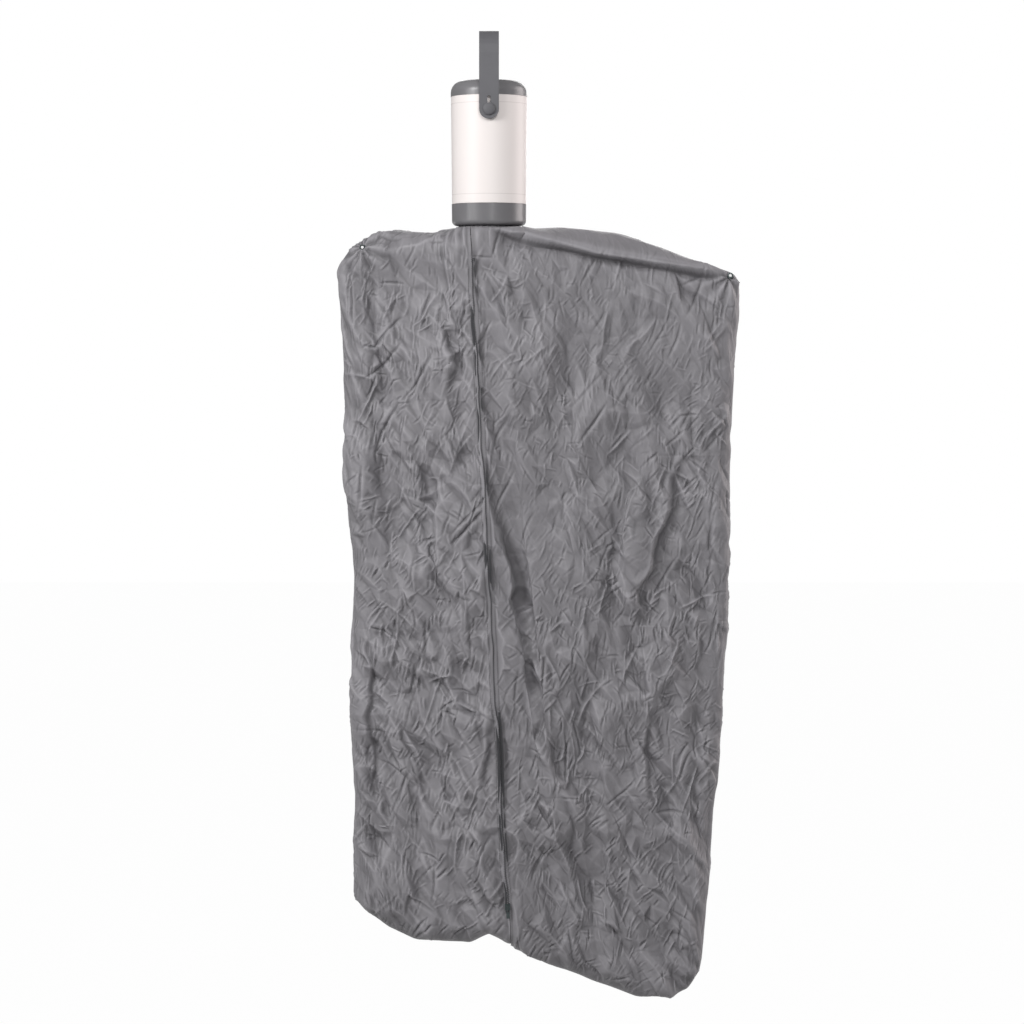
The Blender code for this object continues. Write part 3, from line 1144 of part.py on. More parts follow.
def make_slider(parts, cutters, look):
    """Slider plate in front of the chain, with a bridge that holds the pull."""
    plate_y = plate_front() + SLIDER_PLATE / 2
    size = (SLIDER_WIDTH, SLIDER_PLATE, SLIDER_LENGTH)
    slider = box("zip_slider", size, (0, plate_y, 0), parts, look["ring"])
    bevel(slider, SLIDER_PLATE / 4)
    bar = BRIDGE_BAR
    rise = BRIDGE_ROOM + bar
    pieces = []
    for end in (-1, 1):
        height = end * (SLIDER_LENGTH - bar) / 2 * BRIDGE_SHARE
        centre = (0, plate_front() - rise / 2 + bar / 4, height)
        pieces.append(box("bridge_post", (bar, rise + bar / 2, bar), centre, cutters))
    span = (bar, bar, (SLIDER_LENGTH - bar) * BRIDGE_SHARE + bar)
    pieces.append(box("bridge_span", span, (0, plate_front() - BRIDGE_ROOM - bar / 2, 0), cutters))
    join_shapes(slider, pieces)
    slider.data.transform(zip_matrix(slider_z()))
    return slider


def pull_pivot():
    """The pull's eye turns in the middle of the room under the bridge."""
    return zip_matrix(slider_z()) @ Vector((0, plate_front() - BRIDGE_ROOM / 2, 0))


def make_pull(parts, cutters, look):
    """Flat tab; the bar over its window passes under the bridge, and the tab hangs down."""
    bar = PULL_EYE_BAR
    size = (PULL_WIDTH, PULL_THICKNESS, PULL_LENGTH)
    tab = box("zip_pull", size, (0, 0, (bar - PULL_LENGTH) / 2), parts, look["ring"])
    window = SLIDER_LENGTH / 2 + BRIDGE_BAR
    opening = (BRIDGE_BAR + 4 * RUNNING_GAP, 2 * PULL_THICKNESS, window)
    boolean(tab, box("pull_window", opening, (0, 0, -bar / 2 - window / 2), cutters), "DIFFERENCE")
    lean = zip_matrix(slider_z()).to_3x3().to_4x4()
    tab.data.transform(Matrix.Translation(pull_pivot()) @ lean)
    return tab


def main():
    clear_scene()
    parts = new_collection(COLLECTION_NAME)
    cutters = new_collection("cutters")
    look = make_materials()
    make_strap(parts, cutters, look)
    make_peg("strap_peg_front", 1, parts, cutters, look)
    make_peg("strap_peg_back", -1, parts, cutters, look)
    for make in (make_top_cap, make_shell, make_bottom_cap, make_button, make_switch, make_control_board,
                 make_fan_frame, make_motor, make_rotor, make_heater, make_air_duct, make_grille,
                 make_power_inlet, make_hub, make_hub_screws, make_neck_hem, make_bag, make_zip_chain,
                 make_slider, make_pull):
        make(parts, cutters, look)
    make_arm(-1, "left", False, parts, cutters, look)
    make_arm(1, "right", True, parts, cutters, look)
    make_eyelets(-1, "left", parts, cutters, look)
    make_eyelets(1, "right", parts, cutters, look)


main()
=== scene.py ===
"""Looks of a portable clothes dryer: materials, crumpled cloth bag, zip and light."""
import math

import bpy
import numpy as np
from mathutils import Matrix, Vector
from mathutils.geometry import delaunay_2d_cdt


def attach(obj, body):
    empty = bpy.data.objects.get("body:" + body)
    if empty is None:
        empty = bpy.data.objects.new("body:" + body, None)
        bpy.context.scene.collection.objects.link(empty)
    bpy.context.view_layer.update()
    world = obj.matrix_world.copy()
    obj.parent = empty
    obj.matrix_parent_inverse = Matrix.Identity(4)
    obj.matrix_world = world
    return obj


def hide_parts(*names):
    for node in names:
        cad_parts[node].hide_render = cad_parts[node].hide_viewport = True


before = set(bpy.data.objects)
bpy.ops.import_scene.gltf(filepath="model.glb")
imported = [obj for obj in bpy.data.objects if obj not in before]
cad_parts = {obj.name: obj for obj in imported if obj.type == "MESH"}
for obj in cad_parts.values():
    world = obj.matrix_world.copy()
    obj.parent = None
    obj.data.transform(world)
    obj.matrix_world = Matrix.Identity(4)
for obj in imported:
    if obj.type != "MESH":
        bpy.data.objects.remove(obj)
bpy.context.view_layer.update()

# Camera, as the photograph was taken
EYE = (0.0, -4.10, -0.4378)
PITCH_DEG = 3.42
LENS = 100.0
SHIFT = 0.02246

# Levels and sizes of the bag, the same as in the solid model
NECK_Z = -0.2747
NECK_RADIUS = 0.0455 + 0.0006
BAG_DROP = 1.1150
BAG_HALF_DEPTH = 0.0550
SIDE_HALF_DEPTH = 0.0200
SIDE_ROUND = 0.0220
TOP_ROUND = 0.0350
FOOT_ROUND = 0.0300
REACH = {-1: 0.2184, 1: 0.3621}
ZIP_BELOW_NECK = 0.0430
ZIP_DROP = 0.9400
ZIP_TOP_X = -0.0241
ZIP_FOOT_X = 0.0272
ZIP_TOP_Z = NECK_Z - ZIP_BELOW_NECK
STUDS = {-1: (-0.1810, -0.3027), 1: (0.3460, -0.3427)}

# Outline: depth under the neck against reach, shoulder drop, hem height, all as shares
EDGE = {
    -1: [(0.061, 1.0), (0.106, 0.974), (0.186, 0.962), (0.253, 0.938), (0.343, 0.938), (0.398, 0.914),
         (0.453, 0.895), (0.540, 0.909), (0.660, 0.910), (0.720, 0.892), (0.800, 0.902), (0.872, 0.893)],
    1: [(0.067, 0.990), (0.079, 1.0), (0.096, 0.991), (0.151, 0.981), (0.235, 0.965), (0.325, 0.957),
        (0.429, 0.958), (0.520, 0.951), (0.584, 0.937), (0.637, 0.933), (0.710, 0.918), (0.772, 0.896),
        (0.845, 0.884), (0.938, 0.861), (0.975, 0.842)]}
CORNER_SPREAD = (-0.016, -0.008, 0.0, 0.008, 0.016)
SHOULDER = {
    -1: [(0.0, 0.0), (0.237, 0.0), (0.368, 0.006), (0.506, 0.0044), (0.637, 0.0035), (0.776, 0.0096),
         (0.90, 0.0237), (0.965, 0.041), (1.0, 0.061)],
    1: [(0.0, 0.0), (0.163, 0.0004), (0.285, -0.001), (0.396, 0.002), (0.508, 0.007), (0.674, 0.0237),
        (0.785, 0.0378), (0.869, 0.0468), (0.965, 0.0575), (0.988, 0.0640), (1.0, 0.0740)]}
HEM = {
    -1: [(0.0, 0.0847), (0.124, 0.0715), (0.334, 0.0742), (0.487, 0.0754), (0.667, 0.0913), (0.827, 0.115),
         (0.893, 0.128)],
    1: [(0.0, 0.0847), (0.072, 0.0715), (0.153, 0.0596), (0.286, 0.0385), (0.431, 0.0199), (0.596, 0.0),
        (0.729, 0.0), (0.810, 0.012), (0.842, 0.035)]}

# Main folds of the solid model: place, top, foot, lean, half width, depth
FOLD_DEPTH = 0.0110
RIGHT_FOLDS = [(0.10, 0.05, 0.40, 0.05, 0.055, 0.6), (0.16, 0.36, 0.74, 0.10, 0.050, 1.0),
               (0.36, 0.10, 0.46, -0.10, 0.065, 0.6), (0.58, 0.22, 0.58, -0.16, 0.055, 0.9),
               (0.45, 0.60, 0.94, 0.06, 0.065, 0.8), (0.80, 0.44, 0.90, 0.04, 0.055, 0.7)]
LEFT_FOLDS = [(0.16, 0.04, 0.32, 0.05, 0.090, 0.6), (0.46, 0.14, 0.60, -0.08, 0.100, 0.8),
              (0.76, 0.06, 0.38, 0.02, 0.090, 0.8), (0.60, 0.55, 0.92, 0.06, 0.110, 0.9)]
BACK_FOLDS = [(0.20, 0.08, 0.50, 0.08, 0.070, 0.8), (0.52, 0.05, 0.42, -0.10, 0.070, 0.8),
              (0.38, 0.48, 0.90, 0.10, 0.080, 1.0), (0.74, 0.40, 0.88, -0.06, 0.070, 0.8)]

# Broad facets of the crumpled cloth, the same as in the solid model, in tenths of their depth
RELIEF_DEPTH = 0.0060
FRONT_RELIEF = [
    (8, 1, -3, 2, -8, -4, 3, -8, -8, 10),
    (-1, 2, -3, 3, 9, 1, -4, 4, -1, -8),
    (-2, -5, 9, -7, -1, 9, -6, 2, 9, -8),
    (0, -1, -3, -3, 1, -5, 1, 2, -7, -1),
    (-3, 1, 2, -5, 1, 5, -3, -6, -1, 2),
    (0, 1, -4, 9, -4, 2, 5, -6, 0, 6),
    (-1, -3, 1, -1, -7, 7, -1, -4, 8, -6),
    (3, 1, -4, 7, -1, 2, 10, 0, 1, 1),
    (0, 8, -4, -2, 4, 2, -5, 3, -8, -4),
    (6, 2, 2, 3, 3, -6, 8, -6, -4, 0),
    (1, 8, -7, -2, 2, -3, -2, 0, 1, -5),
    (-3, -8, -1, -6, -4, 9, 2, -3, 4, -1),
    (1, 3, 1, -4, 6, 0, -3, 7, -1, -8),
    (-8, -7, 1, -6, -8, 1, -2, 2, 3, -4),
    (4, -1, 0, 9, -4, 0, 3, 1, -6, 9)]
BACK_RELIEF = [
    (9, -5, -2, 8, 0, 2, 8, 2, -8, 4),
    (-3, 0, -8, 1, 10, 0, -5, 7, -5, 0),
    (-5, 0, 10, 3, 2, 9, 0, -2, 9, -7),
    (-4, 6, -3, 1, 1, -8, -7, 10, -7, -6),
    (-4, -1, 8, -7, 2, 7, -5, -6, 6, -2),
    (2, -6, 0, 6, 1, -6, 7, -7, -8, 1),
    (0, -2, 6, -2, -1, 3, 0, -8, 3, -8),
    (0, 2, -2, 8, -2, -2, 8, -1, -3, 5),
    (-2, 3, -1, -4, 6, -3, 0, 7, -8, 0),
    (9, -5, 0, 8, -3, -7, 7, 1, -5, 1),
    (0, 5, -8, -6, 1, -2, -2, 5, -4, -4),
    (-3, -2, 5, 0, 3, 7, -3, 3, 0, 2),
    (-3, 4, 1, -2, 8, -4, -2, 6, -6, 0),
    (-6, -7, 2, 1, -3, -1, -6, -2, 0, -5),
    (1, -1, -7, 3, -3, 2, 3, -7, -4, 3)]

# Sharper folds seen in front: start x, z, end x, z, half width, depth (minus is a groove)
FRONT_CREASES = [
    (0.190, -0.900, 0.240, -0.860, 0.006, -0.0030), (-0.1349, -0.3059, -0.0483, -0.2790, 0.008, 0.0045),
    (-0.170, -0.299, -0.125, -0.286, 0.003, -0.0035), (-0.1846, -0.3088, -0.208, -0.354, 0.005, -0.0050),
    (-0.164, -0.345, -0.150, -0.560, 0.009, -0.0050), (-0.064, -0.480, -0.036, -0.430, 0.007, 0.0040),
    (-0.060, -0.640, -0.020, -0.520, 0.010, 0.0060), (-0.090, -0.640, -0.060, -0.560, 0.008, -0.0040),
    (0.070, -0.420, 0.086, -0.520, 0.006, 0.0030), (0.150, -0.420, 0.120, -0.560, 0.006, -0.0035),
    (0.175, -0.380, 0.150, -0.470, 0.005, 0.0030), (0.110, -1.090, 0.130, -1.210, 0.008, -0.0050),
    (0.010, -1.120, 0.070, -1.190, 0.007, 0.0050), (-0.130, -1.020, -0.100, -1.160, 0.008, -0.0045),
    (0.250, -1.060, 0.270, -1.240, 0.008, -0.0045), (-0.060, -0.830, -0.030, -0.980, 0.008, -0.0040),
    (0.190, -0.470, 0.240, -0.400, 0.006, 0.0035), (0.290, -0.470, 0.300, -0.640, 0.007, -0.0035)]

# Long folds with a steep flank on the right: path of x and z, width of the flank, drop
FRONT_DROPS = [
    ([(-0.002, -0.640), (0.014, -0.700), (0.030, -0.765), (0.046, -0.842), (0.052, -0.900),
      (0.060, -0.960), (0.078, -1.020), (0.110, -1.090)], 0.019, 0.027),
    ([(0.276, -0.600), (0.258, -0.680), (0.234, -0.735), (0.224, -0.785), (0.214, -0.845)], 0.018, 0.023),
    ([(0.006, -0.910), (0.000, -0.975), (-0.007, -1.030), (-0.012, -1.110)], 0.011, 0.009),
    ([(-0.176, -0.850), (-0.172, -0.930), (-0.176, -1.000), (-0.168, -1.090)], 0.008, 0.009),
    ([(-0.070, -0.420), (-0.052, -0.455), (-0.062, -0.520)], 0.012, 0.011),
    ([(0.236, -0.960), (0.226, -1.030), (0.232, -1.100)], 0.010, 0.010)]

# Fold line of the roof over the front, from the neck to the right stud
ROOF_LINE = [(-0.0043, -0.2710), (0.0300, -0.2838), (0.0729, -0.2937), (0.1129, -0.3023),
             (0.1529, -0.3123), (0.1930, -0.3180), (0.2330, -0.3251), (0.2731, -0.3322), (0.3131, -0.3365),
             (0.3460, -0.3400)]

# The roof's lip over the front, and how far the front hangs back under it
ROOF_LIP = 0.0075
LIP_ROUND = 0.014
LIP_EDGE = 0.0045
ROOF_TUCK = 0.0170
TUCK_REACH = 0.030
TUCK_EDGE = 0.0070

# Crumples: grid of the strokes, border round them, noise table, facet grid and scatter
CELL = 0.0008
MARGIN = 0.010
NOISE_SIZE = 64
NOISE_SHIFT = (31.7, 17.3)
FACET_GRID = 24
FACET_SCATTER = 0.98
FACET_SLACK = 0.01

# Facets laid over each other: depth, cell, stretch, lean, seed, and how patchy
FACET_LAYERS = [(0.0052, 0.046, 1.6, -22, 7, "even"), (0.0042, 0.025, 1.9, -26, 8, "busy"),
                (0.0024, 0.012, 1.9, -30, 13, "busier")]

# Strokes: how many a square metre, lengths, widths, depth, seed, and how patchy
STROKE_LAYERS = [(220, (0.040, 0.090), (0.0022, 0.0036), 0.0050, 30, "busy"),
                 (1500, (0.016, 0.040), (0.0014, 0.0022), 0.0036, 33, "busy"),
                 (5200, (0.010, 0.022), (0.0011, 0.0016), 0.0025, 36, "busier")]
STROKE_LEAN = 66.0
STROKE_SWING = 36.0
STROKE_PATCH = 0.070
STRAY_SHARE = 0.18
STROKE_BOW = 0.08
WEAKEST_STROKE = 0.45
HOLLOW_SHARE = 0.45
HOLLOW_WIDTH = 2.6
RIDGE_WIDTH = 0.32

# How strong the crumples are: everywhere, more to the left, lower down, less at the upper right
CRUMPLE_SHARE = 1.34
LEFT_MORE = 0.30
LOWER_BASE = 0.88
LOWER_MORE = 0.36
UPPER_LESS = 0.26
ROOF_CALM = 0.65
SHOULDER_CALM = 0.45
SIDE_CALM = 0.50
ZIP_CALM = 0.30

# The sewn zip: room beside it for its slider, rise of the cloth along it, its teeth, tape and stitches
SLIDER_ROOM = 0.0052
ZIP_REST = 0.0009
ZIP_SLOPE = 0.8
ZIP_RISE = 0.0016
TOOTH_PITCH = 0.00125
TOOTH_SIZE = (0.0026, 0.0014, 0.0008)
TOOTH_ZIGZAG = 0.0006
TAPE_COLUMNS = ((-0.0044, 0.0004), (-0.0015, 0.0), (0.0015, 0.0), (0.0044, 0.0004))
SEAM_THREAD = (0.0034, 0.0024, 0.0006)
TACK_THREAD = (0.0026, 0.0020, 0.0006)
THREAD_RISE = 0.0003
STITCH_OFFSET = 0.0065
TACK_REACH = 0.016

# Gathered hem of the neck: steps round it and round its roll, radius and half sizes
HEM_TURNS = 220
HEM_AROUND = 12
HEM_RADIUS = 0.0424
HEM_HALF_WIDTH = 0.0016
HEM_HALF_HEIGHT = 0.0022


# Noise and crumples
def read_raster(raster, a, b):
    """Heights of a raster at places between its points, blended from the four around."""
    i, j = np.floor(a).astype(int), np.floor(b).astype(int)
    s, t = a - i, b - j
    low = raster[i, j] * (1 - s) + raster[i + 1, j] * s
    high = raster[i, j + 1] * (1 - s) + raster[i + 1, j + 1] * s
    return low * (1 - t) + high * t


def soft_noise(u, v, cell, seed):
    """Smooth random heights between -1 and 1, with hills of about one cell."""
    rng = np.random.default_rng(seed)
    table = rng.uniform(-1.0, 1.0, (NOISE_SIZE, NOISE_SIZE))
    a, b = u / cell + NOISE_SHIFT[0], v / cell + NOISE_SHIFT[1]
    i, j = np.floor(a).astype(int), np.floor(b).astype(int)
    s, t = a - i, b - j
    s, t = s * s * (3 - 2 * s), t * t * (3 - 2 * t)
    i, j = i % NOISE_SIZE, j % NOISE_SIZE
    right, above = (i + 1) % NOISE_SIZE, (j + 1) % NOISE_SIZE
    low = table[i, j] * (1 - s) + table[right, j] * s
    high = table[i, above] * (1 - s) + table[right, above] * s
    return low * (1 - t) + high * t


def facets(u, v, cell, stretch, lean_deg, seed):
    """Crumpled sheet: random heights at random points, joined by flat three-sided facets."""
    rng = np.random.default_rng(seed)
    turn = math.radians(lean_deg)
    a = (u * math.cos(turn) + v * math.sin(turn)) / cell
    b = (v * math.cos(turn) - u * math.sin(turn)) / (cell * stretch)
    a0, b0 = math.floor(a.min()) - 2, math.floor(b.min()) - 2
    na, nb = math.ceil(a.max()) + 2 - a0, math.ceil(b.max()) + 2 - b0
    points = np.stack(np.meshgrid(np.arange(na), np.arange(nb), indexing="ij"), axis=-1).astype(float)
    points += rng.uniform(0.0, FACET_SCATTER, points.shape)
    points = points.reshape(-1, 2)
    heights = rng.uniform(-1.0, 1.0, len(points))
    out = delaunay_2d_cdt([Vector(p) for p in points], [], [], 0, 1e-6)
    places = np.array([tuple(p) for p in out[0]])
    levels = np.array([heights[source[0]] for source in out[3]])
    raster = np.zeros(((na + 1) * FACET_GRID, (nb + 1) * FACET_GRID))
    for face in out[2]:
        p = places[list(face)] * FACET_GRID
        lo = np.maximum(np.floor(p.min(axis=0)).astype(int), 0)
        hi = np.minimum(np.ceil(p.max(axis=0)).astype(int) + 1, np.array(raster.shape))
        gi, gj = np.meshgrid(np.arange(lo[0], hi[0]), np.arange(lo[1], hi[1]), indexing="ij")
        (x0, y0), (x1, y1), (x2, y2) = p
        area = (x1 - x0) * (y2 - y0) - (x2 - x0) * (y1 - y0)
        if abs(area) < 1e-6:
            continue
        w1 = ((gi - x0) * (y2 - y0) - (x2 - x0) * (gj - y0)) / area
        w2 = ((x1 - x0) * (gj - y0) - (gi - x0) * (y1 - y0)) / area
        w0 = 1 - w1 - w2
        inside = (w0 >= -FACET_SLACK) & (w1 >= -FACET_SLACK) & (w2 >= -FACET_SLACK)
        value = w0 * levels[face[0]] + w1 * levels[face[1]] + w2 * levels[face[2]]
        part = raster[lo[0]:hi[0], lo[1]:hi[1]]
        part[inside] = value[inside]
    return read_raster(raster, (a - a0) * FACET_GRID, (b - b0) * FACET_GRID)


def ridges(u, v, cell, stretch, lean_deg, seed):
    """Short sharp creases, up or down, that fade in and out, with flat cloth between them."""
    turn = math.radians(lean_deg)
    a = u * math.cos(turn) + v * math.sin(turn)
    b = (v * math.cos(turn) - u * math.sin(turn)) / stretch
    line = np.clip(1.0 - np.abs(soft_noise(a, b, cell, seed)) / RIDGE_WIDTH, 0.0, 1.0)
    swing = np.clip(2.2 * soft_noise(a, b, cell * 1.7, seed + 50), -1.0, 1.0)
    return line * swing


def strokes(u, v, density, lengths, widths, depth, seed):
    """Many thin sharp creases; neighbours run much the same way, mostly up to the right."""
    rng = np.random.default_rng(seed)
    u0, v0 = u.min() - MARGIN, v.min() - MARGIN
    wide, tall = u.max() + MARGIN - u0, v.max() + MARGIN - v0
    raster = np.zeros((int(wide / CELL) + 2, int(tall / CELL) + 2))
    count = int(density * wide * tall)
    places = rng.uniform((0.0, 0.0), (wide, tall), (count, 2))
    turn = STROKE_LEAN + STROKE_SWING * soft_noise(places[:, 0], places[:, 1], STROKE_PATCH, seed + 1)
    turn = np.radians(np.where(rng.random(count) < STRAY_SHARE, rng.uniform(0.0, 180.0, count), turn))
    for place, angle in zip(places, turn):
        length, width = rng.uniform(*lengths), rng.uniform(*widths)
        bow = rng.uniform(-STROKE_BOW, STROKE_BOW) * length
        level = depth * rng.choice((-1.0, 1.0)) * rng.uniform(WEAKEST_STROKE, 1.0)
        reach = length / 2 + 4 * width
        lo = np.maximum(((place - reach) / CELL).astype(int), 0)
        hi = np.minimum(((place + reach) / CELL).astype(int) + 1, raster.shape)
        gi, gj = np.meshgrid(np.arange(lo[0], hi[0]), np.arange(lo[1], hi[1]), indexing="ij")
        a, b = gi * CELL - place[0], gj * CELL - place[1]
        along = (a * math.cos(angle) - b * math.sin(angle)) / (length / 2)
        across = a * math.sin(angle) + b * math.cos(angle) - bow * along * along
        fade = np.clip(1.0 - along * along, 0.0, 1.0)
        near = np.exp(-np.abs(across) / width)
        far = np.exp(-(across / (HOLLOW_WIDTH * width)) ** 2)
        raster[lo[0]:hi[0], lo[1]:hi[1]] += level * fade * (near - HOLLOW_SHARE * far)
    return read_raster(raster, (u - u0) / CELL, (v - v0) / CELL)


def crumple(u, v, seed):
    """All the small folds of the nylon at a place on a panel, in metres."""
    kink_u = facets(u, v, 0.026, 1.6, 10, seed + 20)
    kink_v = facets(u, v, 0.030, 1.3, -35, seed + 21)
    wu = u + 0.0020 * soft_noise(u, v, 0.050, seed + 1) + 0.0014 * kink_u
    wv = v + 0.0030 * soft_noise(u, v, 0.060, seed + 3) + 0.0020 * kink_v
    patches = {"even": 1.0, "busy": 0.80 + 0.60 * soft_noise(u, v, 0.090, seed + 4),
               "busier": 0.80 + 0.60 * soft_noise(u, v, 0.055, seed + 5)}
    total = 0.0030 * soft_noise(u, v, 0.120, seed + 6)
    for depth, cell, stretch, lean, step, patch in FACET_LAYERS:
        total += depth * patches[patch] * facets(wu, wv, cell, stretch, lean, seed + step)
    total += 0.0016 * patches["busy"] * ridges(wu, wv, 0.030, 2.2, -28, seed + 10)
    for density, lengths, widths, depth, step, patch in STROKE_LAYERS:
        total += patches[patch] * strokes(u, v, density, lengths, widths, depth, seed + step)
    return total


def creases(x, z, lines):
    total = np.zeros_like(x)
    for x0, z0, x1, z1, width, depth in lines:
        length = math.hypot(x1 - x0, z1 - z0)
        dx, dz = (x1 - x0) / length, (z1 - z0) / length
        along = ((x - x0) * dx + (z - z0) * dz) / length
        bend = 0.006 * soft_noise(along * 0.1, along * 0 + 0.3, 0.03, int(abs(x0) * 1e4))
        across = ((x - x0) * dz - (z - z0) * dx + bend) / width
        fade = np.clip(np.sin(np.pi * np.clip(along, 0, 1)), 0, 1) ** 0.7
        total += depth * fade * (np.exp(-np.abs(across)) - 0.5 * np.exp(-np.abs(across + 1.8)))
    return total


def drops(x, z):
    """Folds that hang over to one side, with the flank away from the window in shade."""
    total = np.zeros_like(x)
    for count, (path, width, drop) in enumerate(FRONT_DROPS):
        places, levels = [p[0] for p in path], [-p[1] for p in path]
        stray = 0.0060 * soft_noise(z, x * 0.3, 0.024, 700 + count)
        away = x - np.interp(-z, levels, places) + stray
        down = (-z - levels[0]) / (levels[-1] - levels[0])
        fade = np.sin(np.pi * np.clip(down, 0.0, 1.0)) ** 0.5
        wide = width * (1.0 + 0.35 * soft_noise(z, x * 0.2, 0.040, 720 + count))
        total += drop * fade * (0.5 - smoothstep(away / wide + 0.5)) * np.exp(-np.abs(away) / 0.026)
    return total


# Shape of the bag
def read_share(table, place):
    """Reading of a table of shares, with its corners rounded off."""
    places, values = [row[0] for row in table], [row[1] for row in table]
    spread = [np.interp(place + offset, places, values) for offset in CORNER_SPREAD]
    return sum(spread) / len(spread)


def zip_x(z):
    return ZIP_TOP_X + (ZIP_FOOT_X - ZIP_TOP_X) * (ZIP_TOP_Z - z) / ZIP_DROP


def edge_x(side, z):
    return side * REACH[side] * read_share(EDGE[side], (NECK_Z - z) / BAG_DROP)


def shoulder_z(side, x):
    return NECK_Z - BAG_DROP * read_share(SHOULDER[side], np.abs(x) / REACH[side])


def hem_z(side, x):
    return NECK_Z - BAG_DROP * (1.0 - read_share(HEM[side], np.abs(x) / REACH[side]))


def round_up(distance, radius):
    share = np.clip(distance / radius, 0.0, 1.0)
    return np.sqrt(1.0 - (1.0 - share) ** 2)


def smoothstep(value):
    value = np.clip(value, 0.0, 1.0)
    return value * value * (3 - 2 * value)


def fold_height(folds, share, z):
    down = (NECK_Z - z) / BAG_DROP
    total = np.zeros_like(z)
    for place, top, foot, lean, width, depth in folds:
        along = (down - top) / (foot - top)
        offset = (share - place - lean * (along - 0.5)) / width
        fade = np.sin(np.pi * np.clip(along, 0.0, 1.0))
        total += depth * 2.0 * offset * np.exp(-offset * offset) * fade
    return FOLD_DEPTH * total


def relief_height(table, x, z):
    table = np.array(table) / 10
    across = (x + REACH[-1]) / (REACH[-1] + REACH[1]) * (table.shape[1] - 1)
    down = (NECK_Z - z) / BAG_DROP * (table.shape[0] - 1)
    across = across + 0.10 * soft_noise(x, z, 0.030, 31)
    down = down + 0.10 * soft_noise(x, z, 0.030, 32)
    column = np.clip(across.astype(int), 0, table.shape[1] - 2)
    row = np.clip(down.astype(int), 0, table.shape[0] - 2)
    s, t = across - column, down - row
    first = table[row, column] * (1 - s - t) + table[row, column + 1] * s + table[row + 1, column] * t
    second = (table[row + 1, column + 1] * (s + t - 1) + table[row + 1, column] * (1 - s)
              + table[row, column + 1] * (1 - t))
    return RELIEF_DEPTH * np.where(s + t < 1, first, second)


def half_depth(side, x, z, folds, relief):
    edge = edge_x(side, z)
    share = np.clip(np.abs(x - zip_x(z)) / np.abs(edge - zip_x(z)), 0.0, 1.0)
    full = SIDE_HALF_DEPTH + (BAG_HALF_DEPTH - SIDE_HALF_DEPTH) * (1.0 - share) ** 1.15
    edge_rise = round_up(np.abs(edge - x), SIDE_ROUND)
    hem_rise = round_up(z - hem_z(side, x), FOOT_ROUND)
    top_rise = round_up(shoulder_z(side, x) - z, TOP_ROUND)
    calm = np.minimum(1.0, share / 0.125) * edge_rise * hem_rise * top_rise
    height = fold_height(folds, share, z) + relief_height(relief, x, z)
    full = full + height * calm * full / BAG_HALF_DEPTH
    full = full * edge_rise * hem_rise
    neck = np.sqrt(np.maximum(NECK_RADIUS ** 2 - x * x, 0.0))
    return np.maximum(neck + (full - neck) * top_rise, 0.0)


def panel_places(side, step, slit):
    """Grid of x and z over half a panel, from the zip to the side and from shoulder to hem."""
    start = zip_x(NECK_Z)
    reach = side * REACH[side]
    last_top = reach - side * SIDE_ROUND
    across = np.linspace(0.0, 1.0, int(abs(last_top - start) / step) + 1)
    rounds = np.linspace(0.0, 1.0, int(0.034 / step) + 1)[1:]
    is_round = np.concatenate([np.zeros(len(across), bool), np.ones(len(rounds), bool)])
    share = np.concatenate([across, rounds])
    bow = side * SIDE_ROUND * (1.0 - np.sin(share * math.pi / 2))
    x_top = np.where(is_round, reach - bow, start + (last_top - start) * share)
    top_rows = 1.0 - np.cos(np.linspace(0.0, 1.0, int(0.050 / step)) * math.pi / 2)
    hem_rows = (1.0 - np.cos(np.linspace(0.0, 1.0, int(0.045 / step)) * math.pi / 2))[::-1]
    middle = np.linspace(0.0, 1.0, int(1.0 / step))[1:-1]
    kinds = np.concatenate([np.zeros(len(top_rows)), np.ones(len(middle)), np.full(len(hem_rows), 2.0)])
    shares = np.concatenate([top_rows, middle, hem_rows])[:, None]
    kinds = kinds[:, None]

    def level(x_above, x_below):
        top, foot = shoulder_z(side, x_above), hem_z(side, x_below)
        upper, lower = top - TOP_ROUND, foot + FOOT_ROUND
        first = top - TOP_ROUND * shares
        second = upper + (lower - upper) * shares
        return np.where(kinds == 0, first, np.where(kinds == 1, second, foot + FOOT_ROUND * shares))

    x = np.broadcast_to(x_top, (len(shares), len(share))).copy()
    z = level(x_top[None, :], x)
    for _ in range(4):
        edge = edge_x(side, z)
        last = edge - side * SIDE_ROUND
        x = np.where(is_round, edge - bow, zip_x(z) + (last - zip_x(z)) * share)
        z = level(x_top[None, :], x)
    x[0] = x_top
    if slit:
        wobble = zip_wobble(z[:, 0])
        near = np.exp(-np.abs(x - zip_x(z)) / 0.020)
        x = x + wobble[:, None] * near
        x[:, 0] += side * 0.0003
    return x, z


def zip_wobble(z):
    """How far the sewn zip strays from its straight line."""
    fade = smoothstep((ZIP_TOP_Z - z) / 0.05)
    broad = 0.0024 * soft_noise(z, z * 0 + 0.2, 0.060, 71)
    return fade * (broad + 0.0010 * soft_noise(z, z * 0, 0.022, 72))


def grid_normals(points):
    down = np.gradient(points, axis=0)
    across = np.gradient(points, axis=1)
    normal = np.cross(across, down)
    length = np.linalg.norm(normal, axis=2, keepdims=True)
    return normal / np.maximum(length, 1e-9)


def roof_z(x):
    return np.interp(x, [p[0] for p in ROOF_LINE], [p[1] for p in ROOF_LINE])


